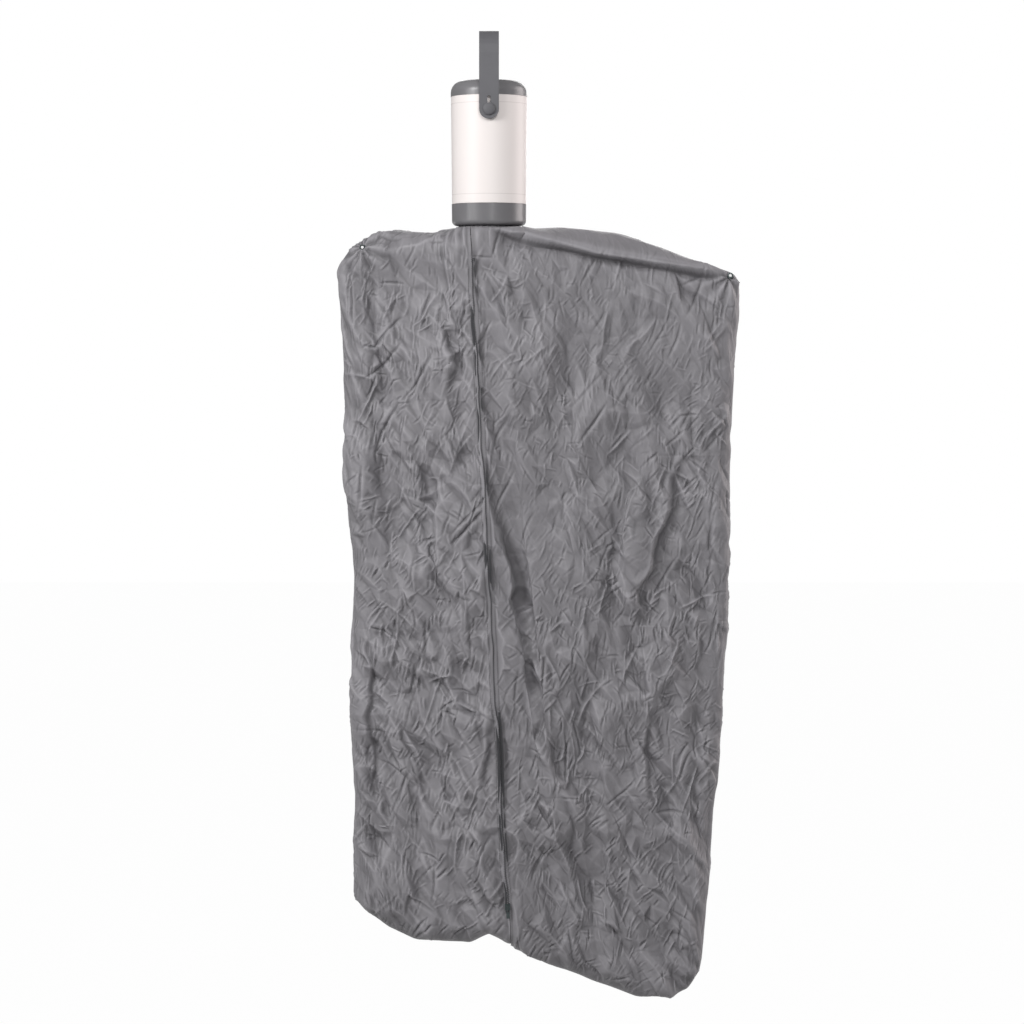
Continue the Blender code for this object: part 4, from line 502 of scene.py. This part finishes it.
def roof_step(x, z):
    """The roof cloth ends in a soft lip, with the front hanging back under it."""
    below = roof_z(x) - z
    fade = smoothstep((x + 0.002) / 0.05) * smoothstep((0.352 - x) / 0.05)
    over, under = np.minimum(below, 0.0), np.maximum(below, 0.0)
    lip = ROOF_LIP * np.exp(-(over / LIP_ROUND) ** 2) * np.exp(-under / LIP_EDGE)
    tuck = ROOF_TUCK * np.exp(-under / TUCK_REACH) * smoothstep(below / TUCK_EDGE)
    return fade * (lip - tuck)


def stud_creases(x, z):
    """Short folds that spread down and inward from each stud, where the bag hangs."""
    total = np.zeros_like(x)
    for side, (sx, sz) in STUDS.items():
        dx, dz = x - sx, z - sz
        distance = np.hypot(dx, dz)
        angle = np.arctan2(-dz, -side * dx)
        rays = np.sin(angle * 9.0 + 2.0 * soft_noise(distance, angle * 0.02, 0.03, 90 + side))
        fade = smoothstep(distance / 0.012) * np.exp(-distance / 0.045)
        total += 0.0032 * rays * fade
        total -= 0.0040 * np.exp(-(distance / 0.012) ** 2)
    return total


def neck_gathers(x, z):
    down = NECK_Z - z
    angle = np.arcsin(np.clip(x / 0.09, -1, 1))
    rays = np.sin(angle * 34.0 + 1.5 * soft_noise(x, z, 0.02, 95))
    near = np.exp(-((x + 0.034) / 0.016) ** 2) + 0.12 * np.exp(-((x - 0.004) / 0.022) ** 2)
    return 0.0030 * rays * np.exp(-np.abs(down - 0.012) / 0.020) * near


def soften(grid, cells):
    """Mean of a grid over a square of cells, first down and then across."""
    for axis in (0, 1):
        pad = [(cells + 1, cells) if k == axis else (0, 0) for k in (0, 1)]
        total = np.cumsum(np.pad(grid, pad, mode="edge"), axis=axis)
        count = grid.shape[axis]
        high = np.take(total, np.arange(2 * cells + 1, 2 * cells + 1 + count), axis=axis)
        low = np.take(total, np.arange(0, count), axis=axis)
        grid = (high - low) / (2 * cells + 1)
    return grid


def painted_crease_shade(height, step):
    """Painted shade in deep creases and painted highlight on ridges: how far each point stands out, -1 to
    1.
    """
    fine = height - soften(height, max(1, round(0.0024 / step)))
    broad = height - soften(height, max(2, round(0.0090 / step)))
    return np.clip(fine / 0.00035, -1.0, 1.0) * 0.55 + np.clip(broad / 0.0016, -1.0, 1.0) * 0.45


def dress(points, front, seed, zip_side, step):
    """Moves a panel's points along its normals by its folds; borders stay where they are sewn."""
    x, z = points[:, :, 0].copy(), points[:, :, 2].copy()
    normal = grid_normals(points)
    outward = np.sign((normal[:, :, 1] * (-1 if front else 1)).sum())
    normal = normal * outward
    rows, columns = x.shape
    v = -z
    u = np.cumsum(np.linalg.norm(np.diff(points, axis=1, prepend=points[:, :1]), axis=2), axis=1)
    to_left = x[rows // 2, -1] < x[rows // 2, 0]
    u = (u - u[:, :1]) * (-1 if to_left else 1) + x[rows // 2, 0]
    height = CRUMPLE_SHARE * crumple(u, v, seed) * (1.0 + LEFT_MORE * smoothstep((0.02 - x) / 0.08))
    lower = smoothstep((-z - 0.45) / 0.5)
    upper = smoothstep((z + 0.52) / 0.24) * smoothstep((x - 0.01) / 0.06)
    height *= LOWER_BASE + LOWER_MORE * lower - UPPER_LESS * upper
    if front:
        height *= 1.0 - ROOF_CALM * smoothstep((z - roof_z(x) + 0.004) / 0.008) * (x > 0)
        height *= 1.0 - SHOULDER_CALM * smoothstep(1.0 - (shoulder_z(-1, x) - z) / 0.060) * (x < 0)
        inward = np.abs(edge_x(-1 if to_left else 1, z) - x)
        height *= SIDE_CALM + (1.0 - SIDE_CALM) * smoothstep(inward / 0.035)
        height += creases(x, z, FRONT_CREASES) + drops(x, z)
        height += roof_step(x, z)
    height += stud_creases(x, z) + neck_gathers(x, z)
    row = np.arange(rows)[:, None]
    column = np.arange(columns)[None, :]
    border = smoothstep(row * step / 0.014) * smoothstep((rows - 1 - row) * step / 0.034)
    if zip_side in ("right", "both"):
        border = border * smoothstep((columns - 1 - column) * step / 0.014)
    if zip_side == "both":
        border = border * smoothstep(column * step / 0.014)
    height = height * border
    if front:
        from_zip = np.abs(x - x[:, :1])
        height *= ZIP_CALM + (1.0 - ZIP_CALM) * smoothstep(from_zip / 0.008)
        height += ZIP_RISE * np.exp(-from_zip / 0.004) * (z < ZIP_TOP_Z)
        clear = ZIP_REST + ZIP_SLOPE * np.maximum(np.abs(x - zip_x(z)) - SLIDER_ROOM, 0.0)
        height = np.minimum(height, clear)
    points = points + normal * height[:, :, None]
    hem = smoothstep(1.0 - (rows - row) * step / 0.050)
    points[:, :, 2] += hem * 0.0012 * soft_noise(x, x * 0 + 0.1, 0.024, 61)
    lowest = np.where(x < 0, hem_z(-1, x), hem_z(1, x)) - 0.0015
    points[:, :, 2] = np.maximum(points[:, :, 2], lowest)
    side_sign = np.sign(x)
    out = smoothstep((np.abs(x - 0.07) - 0.20) / 0.08)
    points[:, :, 0] += side_sign * out * 0.0016 * soft_noise(z, z * 0 + 0.5, 0.020, 62)
    # Also hands back the painted crease shade and ridge highlight for the cloth's colour
    return points, painted_crease_shade(height, step)


def add_object(name, data):
    item = bpy.data.objects.new(name, data)
    bpy.context.scene.collection.objects.link(item)
    return item


def grid_object(name, points, tone=None):
    rows, columns = points.shape[:2]
    index = np.arange(rows * columns).reshape(rows, columns)
    corners = [index[:-1, :-1], index[:-1, 1:], index[1:, 1:], index[1:, :-1]]
    faces = np.stack(corners, axis=-1).reshape(-1, 4)
    mesh = bpy.data.meshes.new(name)
    mesh.vertices.add(rows * columns)
    mesh.vertices.foreach_set("co", points.reshape(-1).astype(np.float32))
    mesh.loops.add(len(faces) * 4)
    mesh.loops.foreach_set("vertex_index", faces.reshape(-1).astype(np.int32))
    mesh.polygons.add(len(faces))
    mesh.polygons.foreach_set("loop_start", (np.arange(len(faces)) * 4).astype(np.int32))
    mesh.update(calc_edges=True)
    mesh.validate()
    # Painted crease shade and ridge highlight, kept on the points for the cloth's colour
    if tone is not None:
        mesh.attributes.new("painted_crease_shade", "FLOAT", "POINT").data.foreach_set("value", tone.ravel())
    item = add_object(name, mesh)
    mesh.shade_smooth()
    return item


# Materials
# How strongly the painted crease shade and ridge highlight darken and lighten the cloth's colour
FOLD_SHADE = 0.30
TONE_SPREAD = 0.06
SHELL_LINES = (-0.0985, -0.2275)
LINE_HALF_WIDTH = 0.00045
METAL_GRAIN = 400.0
SHELL_RIMS = (0.010, -0.0655, -0.2717)
TOP_RIMS = (0.0385, -0.0655 - 0.0165, -0.2717)
FOOT_RIMS = (0.0461, -0.0655, -0.2717 + 0.0070)


def new_material(name):
    material = bpy.data.materials.new(name)
    material.use_nodes = True
    tree = material.node_tree
    return material, tree, tree.nodes["Principled BSDF"]


def node(tree, kind, **values):
    item = tree.nodes.new(kind)
    for key, value in values.items():
        if hasattr(item, key):
            setattr(item, key, value)
        else:
            item.inputs[key.replace("_", " ")].default_value = value
    return item


def noise(tree, coordinates, scale, detail=3.0, roughness=0.55):
    item = node(tree, "ShaderNodeTexNoise", Scale=scale, Detail=detail, Roughness=roughness)
    tree.links.new(coordinates, item.inputs["Vector"])
    return item.outputs["Fac"]


def ramp(tree, value, stops):
    item = tree.nodes.new("ShaderNodeValToRGB")
    tree.links.new(value, item.inputs["Fac"])
    while len(item.color_ramp.elements) < len(stops):
        item.color_ramp.elements.new(0.5)
    for element, (place, colour) in zip(item.color_ramp.elements, stops):
        element.position = place
        element.color = (*colour, 1.0)
    return item.outputs["Color"]


def math_node(tree, operation, *values):
    item = tree.nodes.new("ShaderNodeMath")
    item.operation = operation
    for socket, value in zip(item.inputs, values):
        if isinstance(value, (int, float)):
            socket.default_value = value
        else:
            tree.links.new(value, socket)
    return item.outputs[0]


def vector_node(tree, operation, *values):
    item = tree.nodes.new("ShaderNodeVectorMath")
    item.operation = operation
    for socket, value in zip(item.inputs, values):
        if isinstance(value, tuple):
            socket.default_value = value
        else:
            tree.links.new(value, socket)
    return item.outputs["Value" if operation in ("LENGTH", "DOT_PRODUCT") else "Vector"]


def turned_normal(tree, place, core_radius, top, foot):
    """Normal of a turned body with rounded rims; it takes the place of its flat sides' own."""
    parts = tree.nodes.new("ShaderNodeSeparateXYZ")
    tree.links.new(place, parts.inputs[0])
    flat = tree.nodes.new("ShaderNodeCombineXYZ")
    tree.links.new(parts.outputs["X"], flat.inputs["X"])
    tree.links.new(parts.outputs["Y"], flat.inputs["Y"])
    radius = vector_node(tree, "LENGTH", flat.outputs[0])
    push = math_node(tree, "MAXIMUM", math_node(tree, "SUBTRACT", radius, core_radius), 0.0)
    over = math_node(tree, "MAXIMUM", math_node(tree, "SUBTRACT", parts.outputs["Z"], top), 0.0)
    under = math_node(tree, "MINIMUM", math_node(tree, "SUBTRACT", parts.outputs["Z"], foot), 0.0)
    rise = tree.nodes.new("ShaderNodeCombineXYZ")
    tree.links.new(math_node(tree, "ADD", over, under), rise.inputs["Z"])
    scaled = tree.nodes.new("ShaderNodeVectorMath")
    scaled.operation = "SCALE"
    tree.links.new(vector_node(tree, "NORMALIZE", flat.outputs[0]), scaled.inputs[0])
    tree.links.new(push, scaled.inputs["Scale"])
    out = vector_node(tree, "NORMALIZE", vector_node(tree, "ADD", scaled.outputs[0], rise.outputs[0]))
    turn = tree.nodes.new("ShaderNodeVectorTransform")
    turn.vector_type = "NORMAL"
    turn.convert_from, turn.convert_to = "OBJECT", "WORLD"
    tree.links.new(out, turn.inputs[0])
    own = tree.nodes.new("ShaderNodeNewGeometry").outputs["Normal"]
    agree = math_node(tree, "GREATER_THAN", vector_node(tree, "DOT_PRODUCT", turn.outputs[0], own), 0.93)
    mix = tree.nodes.new("ShaderNodeMix")
    mix.data_type = "VECTOR"
    tree.links.new(agree, mix.inputs["Factor"])
    tree.links.new(own, mix.inputs[4])
    tree.links.new(turn.outputs[0], mix.inputs[5])
    return mix.outputs[1]


def bump(tree, shader, height, strength, distance, normal=None):
    item = node(tree, "ShaderNodeBump", Strength=strength, Distance=distance)
    tree.links.new(height, item.inputs["Height"])
    if normal is not None:
        tree.links.new(normal, item.inputs["Normal"])
    tree.links.new(item.outputs["Normal"], shader.inputs["Normal"])


def uneven_gloss(tree, shader, place, scale, swing, least):
    rough = math_node(tree, "MULTIPLY_ADD", noise(tree, place, scale), swing, least)
    tree.links.new(rough, shader.inputs["Roughness"])


def object_coordinates(tree):
    return tree.nodes.new("ShaderNodeTexCoord").outputs["Object"]


def moulded(name, colour, roughness, grain=900.0, strength=0.12, rims=None):
    """Moulded plastic: a fine grain, slight unevenness of tone and of gloss."""
    material, tree, shader = new_material(name)
    place = object_coordinates(tree)
    patches = noise(tree, place, 22.0)
    low = tuple(c * (1 - TONE_SPREAD) for c in colour)
    high = tuple(c * (1 + TONE_SPREAD) for c in colour)
    tree.links.new(ramp(tree, patches, [(0.3, low), (0.7, high)]), shader.inputs["Base Color"])
    uneven_gloss(tree, shader, place, 60.0, 0.12, roughness - 0.06)
    normal = turned_normal(tree, place, *rims) if rims else None
    bump(tree, shader, noise(tree, place, grain, 2.0), strength, 0.0004, normal)
    return material


def shell_material():
    """Warm white gloss, with two fine moulded lines round it."""
    material, tree, shader = new_material("warm_white_gloss_shell")
    place = object_coordinates(tree)
    patches = noise(tree, place, 9.0)
    colours = ramp(tree, patches, [(0.25, (0.835, 0.778, 0.760)), (0.75, (0.850, 0.798, 0.780))])
    parts = tree.nodes.new("ShaderNodeSeparateXYZ")
    tree.links.new(place, parts.inputs[0])
    lines = None
    for level in SHELL_LINES:
        away = math_node(tree, "ABSOLUTE", math_node(tree, "SUBTRACT", parts.outputs["Z"], level))
        line = math_node(tree, "LESS_THAN", away, LINE_HALF_WIDTH)
        lines = line if lines is None else math_node(tree, "MAXIMUM", lines, line)
    mix = tree.nodes.new("ShaderNodeMix")
    mix.data_type = "RGBA"
    mix.inputs["B"].default_value = (0.60, 0.55, 0.53, 1.0)
    tree.links.new(math_node(tree, "MULTIPLY", lines, 0.55), mix.inputs["Factor"])
    tree.links.new(colours, mix.inputs["A"])
    tree.links.new(mix.outputs["Result"], shader.inputs["Base Color"])
    uneven_gloss(tree, shader, place, 30.0, 0.04, 0.42)
    shader.inputs["Specular IOR Level"].default_value = 0.35
    bump(tree, shader, noise(tree, place, 260.0, 2.0), 0.03, 0.0002,
         turned_normal(tree, place, *SHELL_RIMS))
    return material


def nylon_material(name, colour):
    """Thin woven nylon: fine weave, tiny sharp crinkles, soft sheen, and painted shade in its creases with
    painted highlight on its ridges.
    """
    material, tree, shader = new_material(name)
    place = object_coordinates(tree)
    broad = noise(tree, place, 14.0, 4.0)
    tone = math_node(tree, "ADD", broad, math_node(tree, "MULTIPLY", noise(tree, place, 160.0), 0.25))
    low = tuple(c * 0.90 for c in colour)
    high = tuple(c * 1.09 for c in colour)
    shade = tree.nodes.new("ShaderNodeVectorMath")
    shade.operation = "SCALE"
    tree.links.new(ramp(tree, tone, [(0.42, low), (0.82, high)]), shade.inputs[0])
    # Painted shade: the colour is darkened in creases and lightened on ridges by the crease attribute
    crease_shade_paint = node(tree, "ShaderNodeAttribute", attribute_name="painted_crease_shade")
    change = math_node(tree, "MULTIPLY_ADD", crease_shade_paint.outputs["Fac"], FOLD_SHADE, 1.0)
    tree.links.new(change, shade.inputs["Scale"])
    tree.links.new(shade.outputs[0], shader.inputs["Base Color"])
    uneven_gloss(tree, shader, place, 70.0, 0.16, 0.48)
    shader.inputs["Specular IOR Level"].default_value = 0.40
    shader.inputs["Sheen Weight"].default_value = 0.12
    shader.inputs["Sheen Roughness"].default_value = 0.40
    squeeze = node(tree, "ShaderNodeMapping", Rotation=(0.0, math.radians(24), 0.0),
                   Scale=(1.0, 1.0, 0.42))
    tree.links.new(place, squeeze.inputs["Vector"])
    warp = node(tree, "ShaderNodeTexNoise", Scale=60.0, Detail=2.0)
    tree.links.new(place, warp.inputs["Vector"])
    shifted = tree.nodes.new("ShaderNodeVectorMath")
    shifted.operation = "MULTIPLY_ADD"
    shifted.inputs[1].default_value = (0.012, 0.012, 0.012)
    tree.links.new(warp.outputs["Color"], shifted.inputs[0])
    tree.links.new(squeeze.outputs["Vector"], shifted.inputs[2])
    crinkle = node(tree, "ShaderNodeTexVoronoi", Scale=150.0)
    tree.links.new(shifted.outputs[0], crinkle.inputs["Vector"])
    finer = node(tree, "ShaderNodeTexVoronoi", Scale=330.0)
    tree.links.new(shifted.outputs[0], finer.inputs["Vector"])
    folds = math_node(tree, "ADD", crinkle.outputs["Distance"],
                      math_node(tree, "MULTIPLY", finer.outputs["Distance"], 0.45))
    weave = None
    for angle in (0.0, 90.0):
        wave = node(tree, "ShaderNodeTexWave", Scale=620.0, Distortion=0.4)
        turn = node(tree, "ShaderNodeMapping", Rotation=(0.0, math.radians(angle), 0.0))
        tree.links.new(place, turn.inputs["Vector"])
        tree.links.new(turn.outputs["Vector"], wave.inputs["Vector"])
        threads = wave.outputs["Fac"]
        weave = threads if weave is None else math_node(tree, "ADD", weave, threads)
    height = math_node(tree, "ADD", folds, math_node(tree, "MULTIPLY", weave, 0.04))
    bump(tree, shader, height, 0.45, 0.0006)
    return material


def metal(name, colour, roughness):
    """Metal with a fine unevenness of tone and of gloss."""
    material, tree, shader = new_material(name)
    place = object_coordinates(tree)
    tone = noise(tree, place, 90.0)
    low = tuple(c * 0.86 for c in colour)
    tree.links.new(ramp(tree, tone, [(0.3, low), (0.7, colour)]), shader.inputs["Base Color"])
    shader.inputs["Metallic"].default_value = 1.0
    uneven_gloss(tree, shader, place, METAL_GRAIN, 0.20, roughness - 0.10)
    bump(tree, shader, noise(tree, place, METAL_GRAIN * 3, 2.0), 0.10, 0.0002)
    return material


# Zip and stitches
def strip_of_boxes(name, centres, frames, size):
    """Many small blocks in one mesh: each centre has a frame of three directions."""
    corner = np.array([(a, b, c) for a in (-0.5, 0.5) for b in (-0.5, 0.5) for c in (-0.5, 0.5)]) * size
    quads = [(0, 1, 3, 2), (4, 6, 7, 5), (0, 4, 5, 1), (2, 3, 7, 6), (0, 2, 6, 4), (1, 5, 7, 3)]
    vertices, faces = [], []
    for count, (centre, basis) in enumerate(zip(centres, frames)):
        vertices.extend((centre + corner @ basis).tolist())
        faces.extend([tuple(count * 8 + i for i in quad) for quad in quads])
    mesh = bpy.data.meshes.new(name)
    mesh.from_pydata(vertices, [], faces)
    item = add_object(name, mesh)
    step = item.modifiers.new("round", "BEVEL")
    step.width = min(size) * 0.28
    step.segments = 1
    step.limit_method = "NONE"
    graph = bpy.context.evaluated_depsgraph_get()
    item.data = bpy.data.meshes.new_from_object(item.evaluated_get(graph), depsgraph=graph)
    item.modifiers.clear()
    item.data.shade_smooth()
    return item


def frames_along(points, out):
    """Frames along a line: across, out of the cloth, along."""
    along = np.gradient(points, axis=0)
    along /= np.linalg.norm(along, axis=1, keepdims=True)
    across = np.cross(along, out)
    across /= np.linalg.norm(across, axis=1, keepdims=True)
    return np.stack([across, np.cross(across, along) * -1, along], axis=1)


def make_zip():
    z = np.arange(ZIP_TOP_Z - 0.001, ZIP_TOP_Z - ZIP_DROP, -TOOTH_PITCH)
    x = zip_x(z) + zip_wobble(z) + np.where(np.arange(len(z)) % 2, TOOTH_ZIGZAG, -TOOTH_ZIGZAG)
    y = np.full(len(z), -BAG_HALF_DEPTH - 0.0004)
    points = np.stack([x, y, z], axis=1)
    smooth_line = np.stack([zip_x(z), y, z], axis=1)
    frames = frames_along(smooth_line, np.array((0.0, -1.0, 0.0)))
    teeth = strip_of_boxes("zip_teeth", points, frames, np.array(TOOTH_SIZE))
    rows = []
    for offset, back in TAPE_COLUMNS:
        rows.append(np.stack([zip_x(z) + zip_wobble(z) + offset, y + 0.0012 + back, z], axis=1))
    tape = grid_object("zip_tape", np.stack(rows, axis=1))
    return teeth, tape


def stitches(name, points, normals, thread):
    """Thread laid along a line on the cloth, one short raised stitch after another."""
    pitch, length, width = thread
    steps = np.linalg.norm(np.diff(points, axis=0), axis=1)
    run = np.concatenate([[0.0], np.cumsum(steps)])
    places = np.arange(pitch, run[-1] - pitch, pitch)
    centres = np.stack([np.interp(places, run, points[:, k]) for k in range(3)], axis=1)
    outs = np.stack([np.interp(places, run, normals[:, k]) for k in range(3)], axis=1)
    centres += outs * THREAD_RISE
    ahead = np.stack([np.interp(places + 0.001, run, points[:, k]) for k in range(3)], axis=1)
    along = ahead - (centres - outs * THREAD_RISE)
    along /= np.maximum(np.linalg.norm(along, axis=1, keepdims=True), 1e-9)
    across = np.cross(along, outs)
    across /= np.maximum(np.linalg.norm(across, axis=1, keepdims=True), 1e-9)
    frames = np.stack([across, np.cross(along, across), along], axis=1)
    return strip_of_boxes(name, centres, frames, np.array((width, width * 0.8, length)))


def neck_hem_piece():
    """Gathered hem of the neck: a roll of cloth with many small tucks round the hub."""
    points = np.zeros((HEM_TURNS + 1, HEM_AROUND + 1, 3))
    for i in range(HEM_TURNS + 1):
        angle = 2 * math.pi * i / HEM_TURNS
        pucker = 0.00035 * math.sin(angle * 34) + 0.00025 * math.sin(angle * 55 + 1.0)
        for j in range(HEM_AROUND + 1):
            roll = 2 * math.pi * j / HEM_AROUND
            radius = HEM_RADIUS + (HEM_HALF_WIDTH + pucker) * math.cos(roll)
            points[i, j] = (radius * math.cos(angle), radius * math.sin(angle),
                            NECK_Z + (HEM_HALF_HEIGHT + pucker) * math.sin(roll))
    return grid_object("neck_hem_cloth", points)


# Build
FRONT_STEP = 0.0012
BACK_STEP = 0.0022
CLOTH = nylon_material("grey_crinkled_nylon", (0.215, 0.208, 0.222))
DARK = moulded("dark_moulded_plastic", (0.045, 0.045, 0.050), 0.50)
TOP_CAP = moulded("grey_satin_top", (0.170, 0.167, 0.175), 0.31, grain=700.0, rims=TOP_RIMS)
FOOT_CAP = moulded("grey_satin_foot", (0.155, 0.152, 0.160), 0.32, grain=700.0, rims=FOOT_RIMS)
STRAP = moulded("grey_matte_strap", (0.118, 0.117, 0.127), 0.62, grain=1300.0, strength=0.25)
SHELL = shell_material()
STEEL = metal("drawn_steel", (0.60, 0.60, 0.59), 0.32)
RING = metal("dark_plated_ring", (0.07, 0.085, 0.085), 0.34)
HEATER = metal("heater_aluminium", (0.68, 0.68, 0.67), 0.40)
TAN = moulded("heat_proof_plastic", (0.28, 0.25, 0.21), 0.60)
BOARD = moulded("coated_board", (0.03, 0.15, 0.07), 0.45)
STUD = moulded("pale_stud", (0.86, 0.86, 0.86), 0.30)
COIL = moulded("zip_coil_plastic", (0.030, 0.030, 0.034), 0.45)
THREAD = moulded("grey_thread", (0.115, 0.112, 0.120), 0.75, grain=2600.0, strength=0.5)

LOOKS = {
    "top_cap": TOP_CAP, "bottom_cap": FOOT_CAP, "power_button": TOP_CAP, "handle_strap": STRAP,
    "strap_peg_front": STRAP, "strap_peg_back": STRAP, "housing_shell": SHELL, "button_switch": DARK,
    "control_board": BOARD, "fan_frame": DARK, "fan_rotor": DARK, "fan_motor": STEEL, "heater_ring": TAN,
    "heater_element": HEATER, "air_duct": TAN, "outlet_grille": DARK, "power_inlet": DARK,
    "arm_hub": DARK, "zip_slider": RING, "zip_pull": RING,
    "shoulder_stud_left": STUD, "shoulder_stud_right": STUD}
for name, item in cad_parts.items():
    look = LOOKS.get(name)
    if look is None:
        if name.startswith("eyelet"):
            look = RING
        elif name.startswith("arm_sleeve"):
            look = DARK
        elif name.startswith(("arm_", "hub_screw")):
            look = STEEL
        else:
            look = CLOTH
    item.data.materials.clear()
    item.data.materials.append(look)


def make_panels():
    left, right = [], []
    for side, folds, group in ((-1, LEFT_FOLDS, left), (1, RIGHT_FOLDS, right)):
        x, z = panel_places(side, FRONT_STEP, True)
        y = -half_depth(side, x, z, folds, FRONT_RELIEF)
        group.append(dress(np.stack([x, y, z], axis=2), True, 100 + side * 40, "right", FRONT_STEP))
    halves = []
    for side in (-1, 1):
        x, z = panel_places(side, BACK_STEP, False)
        halves.append(np.stack([x, half_depth(side, x, z, BACK_FOLDS, BACK_RELIEF), z], axis=2))
    back = np.concatenate([halves[0][:, ::-1][:, :-1], halves[1]], axis=1)
    back = dress(back, False, 400, "both", BACK_STEP)
    return left[0], right[0], back


(left_points, left_crease_shade), (right_points, right_crease_shade), (back_points, back_crease_shade) = make_panels()
left_cloth = grid_object("bag_cloth_front_left", left_points, left_crease_shade)
right_cloth = grid_object("bag_cloth_front_right", right_points, right_crease_shade)
back_cloth = grid_object("bag_cloth_back", back_points, back_crease_shade)
hem_cloth = neck_hem_piece()
teeth, tape = make_zip()


def front_normals(points):
    normals = grid_normals(points)
    return -normals if normals[:, :, 1].sum() > 0 else normals


def stitch_line(name, points, column):
    """A row of stitches down the cloth, beside the zip."""
    normals = front_normals(points)
    keep = points[:, column, 2] < ZIP_TOP_Z
    keep &= points[:, column, 2] > ZIP_TOP_Z - ZIP_DROP
    return stitches(name, points[keep, column], normals[keep, column], SEAM_THREAD)


def tack_line(name, points, level, reach):
    """A short sewn line across the cloth, from the zip outward."""
    row = int(np.argmin(np.abs(points[:, 0, 2] - level)))
    keep = np.abs(points[row, :, 0] - points[row, 0, 0]) < reach
    return stitches(name, points[row, keep], front_normals(points)[row, keep], TACK_THREAD)


gap = max(2, round(STITCH_OFFSET / FRONT_STEP))
stitch_right = stitch_line("zip_stitches_right", right_points, gap)
stitch_left = stitch_line("zip_stitches_left", left_points, gap)
tack = tack_line("zip_top_tack", right_points, ZIP_TOP_Z + 0.002, TACK_REACH)

for piece, look, slot in ((left_cloth, CLOTH, "cloth"), (right_cloth, CLOTH, "cloth"),
                          (back_cloth, CLOTH, "cloth"), (hem_cloth, CLOTH, "cloth"), (teeth, COIL, "zip"),
                          (tape, COIL, "zip"), (stitch_right, THREAD, "cloth"),
                          (stitch_left, THREAD, "cloth"), (tack, THREAD, "cloth")):
    piece.data.materials.append(look)
    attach(piece, "unit")
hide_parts("bag_front_left")
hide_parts("bag_front_right")
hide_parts("bag_back")
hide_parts("neck_hem")
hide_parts("zip_chain")

# Floor, light and camera
FLOOR_Z = -1.80
FLOOR_REACH = 12.0
FLOOR_GREY = (0.30, 0.30, 0.30, 1.0)
FLOOR_WHITE_SHARE = 0.985
WORLD_STRENGTH = 0.25
WHITE = (1.0, 1.0, 1.0)

# Lamps: name, place, aim, size, watts, colour
LAMPS = [("key_left", (-2.0, -1.8, 0.7), (0.0, 0.0, -0.45), (0.7, 1.0), 51.0, WHITE),
         ("top_front", (0.4, -2.4, 1.2), (0.05, 0.0, -0.30), (1.1, 0.9), 28.0, WHITE),
         ("strip_left", (-3.6, -1.8, 0.0), (0.0, 0.0, -0.45), (0.20, 1.4), 15.0, WHITE),
         ("strip_front", (0.75, -4.4, 0.4), (0.0, 0.0, -0.45), (0.30, 1.5), 18.0, WHITE),
         ("rim_right", (3.0, 1.0, 0.3), (0.05, 0.0, -0.40), (2.0, 2.3), 66.0, (1.0, 0.93, 0.92)),
         ("back_top", (0.5, 2.8, 0.6), (0.05, 0.0, -0.6), (1.8, 1.4), 26.0, WHITE)]


def make_floor():
    mesh = bpy.data.meshes.new("floor")
    signs = ((-1, -1), (1, -1), (1, 1), (-1, 1))
    corners = [(a * FLOOR_REACH, b * FLOOR_REACH, FLOOR_Z) for a, b in signs]
    mesh.from_pydata(corners, [], [(0, 1, 2, 3)])
    floor = add_object("floor", mesh)
    material, tree, shader = new_material("pale_floor")
    shader.inputs["Base Color"].default_value = FLOOR_GREY
    shader.inputs["Roughness"].default_value = 0.9
    glow = node(tree, "ShaderNodeEmission", Strength=1.0, Color=(1.0, 1.0, 1.0, 1.0))
    rays = tree.nodes.new("ShaderNodeLightPath")
    seen = math_node(tree, "MAXIMUM", rays.outputs["Is Camera Ray"], rays.outputs["Is Glossy Ray"])
    seen = math_node(tree, "MAXIMUM", seen, rays.outputs["Is Transmission Ray"])
    mix = tree.nodes.new("ShaderNodeMixShader")
    tree.links.new(math_node(tree, "MULTIPLY", seen, FLOOR_WHITE_SHARE), mix.inputs[0])
    tree.links.new(shader.outputs[0], mix.inputs[1])
    tree.links.new(glow.outputs[0], mix.inputs[2])
    tree.links.new(mix.outputs[0], tree.nodes["Material Output"].inputs["Surface"])
    mesh.materials.append(material)


def make_world():
    world = bpy.data.worlds.new("plain_studio")
    bpy.context.scene.world = world
    world.use_nodes = True
    tree = world.node_tree
    tree.nodes.clear()
    soft = node(tree, "ShaderNodeBackground", Strength=WORLD_STRENGTH, Color=(1.0, 0.995, 0.99, 1.0))
    white = node(tree, "ShaderNodeBackground", Strength=1.0, Color=(1.0, 1.0, 1.0, 1.0))
    rays = tree.nodes.new("ShaderNodeLightPath")
    seen = math_node(tree, "MAXIMUM", rays.outputs["Is Camera Ray"], rays.outputs["Is Transmission Ray"])
    mix = tree.nodes.new("ShaderNodeMixShader")
    output = tree.nodes.new("ShaderNodeOutputWorld")
    tree.links.new(seen, mix.inputs[0])
    tree.links.new(soft.outputs[0], mix.inputs[1])
    tree.links.new(white.outputs[0], mix.inputs[2])
    tree.links.new(mix.outputs[0], output.inputs["Surface"])


def area_light(name, place, target, size, energy, colour):
    data = bpy.data.lights.new(name, "AREA")
    data.shape = "RECTANGLE"
    data.size, data.size_y = size
    data.energy = energy
    data.color = colour
    item = add_object(name, data)
    item.location = place
    item.rotation_euler = (Vector(target) - Vector(place)).to_track_quat("-Z", "Y").to_euler()


def make_camera():
    data = bpy.data.cameras.new("camera")
    data.lens = LENS
    data.sensor_width = 36.0
    data.shift_x = SHIFT
    data.clip_end = 60.0
    item = add_object("camera", data)
    item.location = EYE
    item.rotation_euler = (math.radians(90.0 - PITCH_DEG), 0.0, 0.0)
    bpy.context.scene.camera = item


make_floor()
make_world()
make_camera()
for lamp in LAMPS:
    area_light(*lamp)
bpy.context.scene.view_settings.view_transform = "Standard"
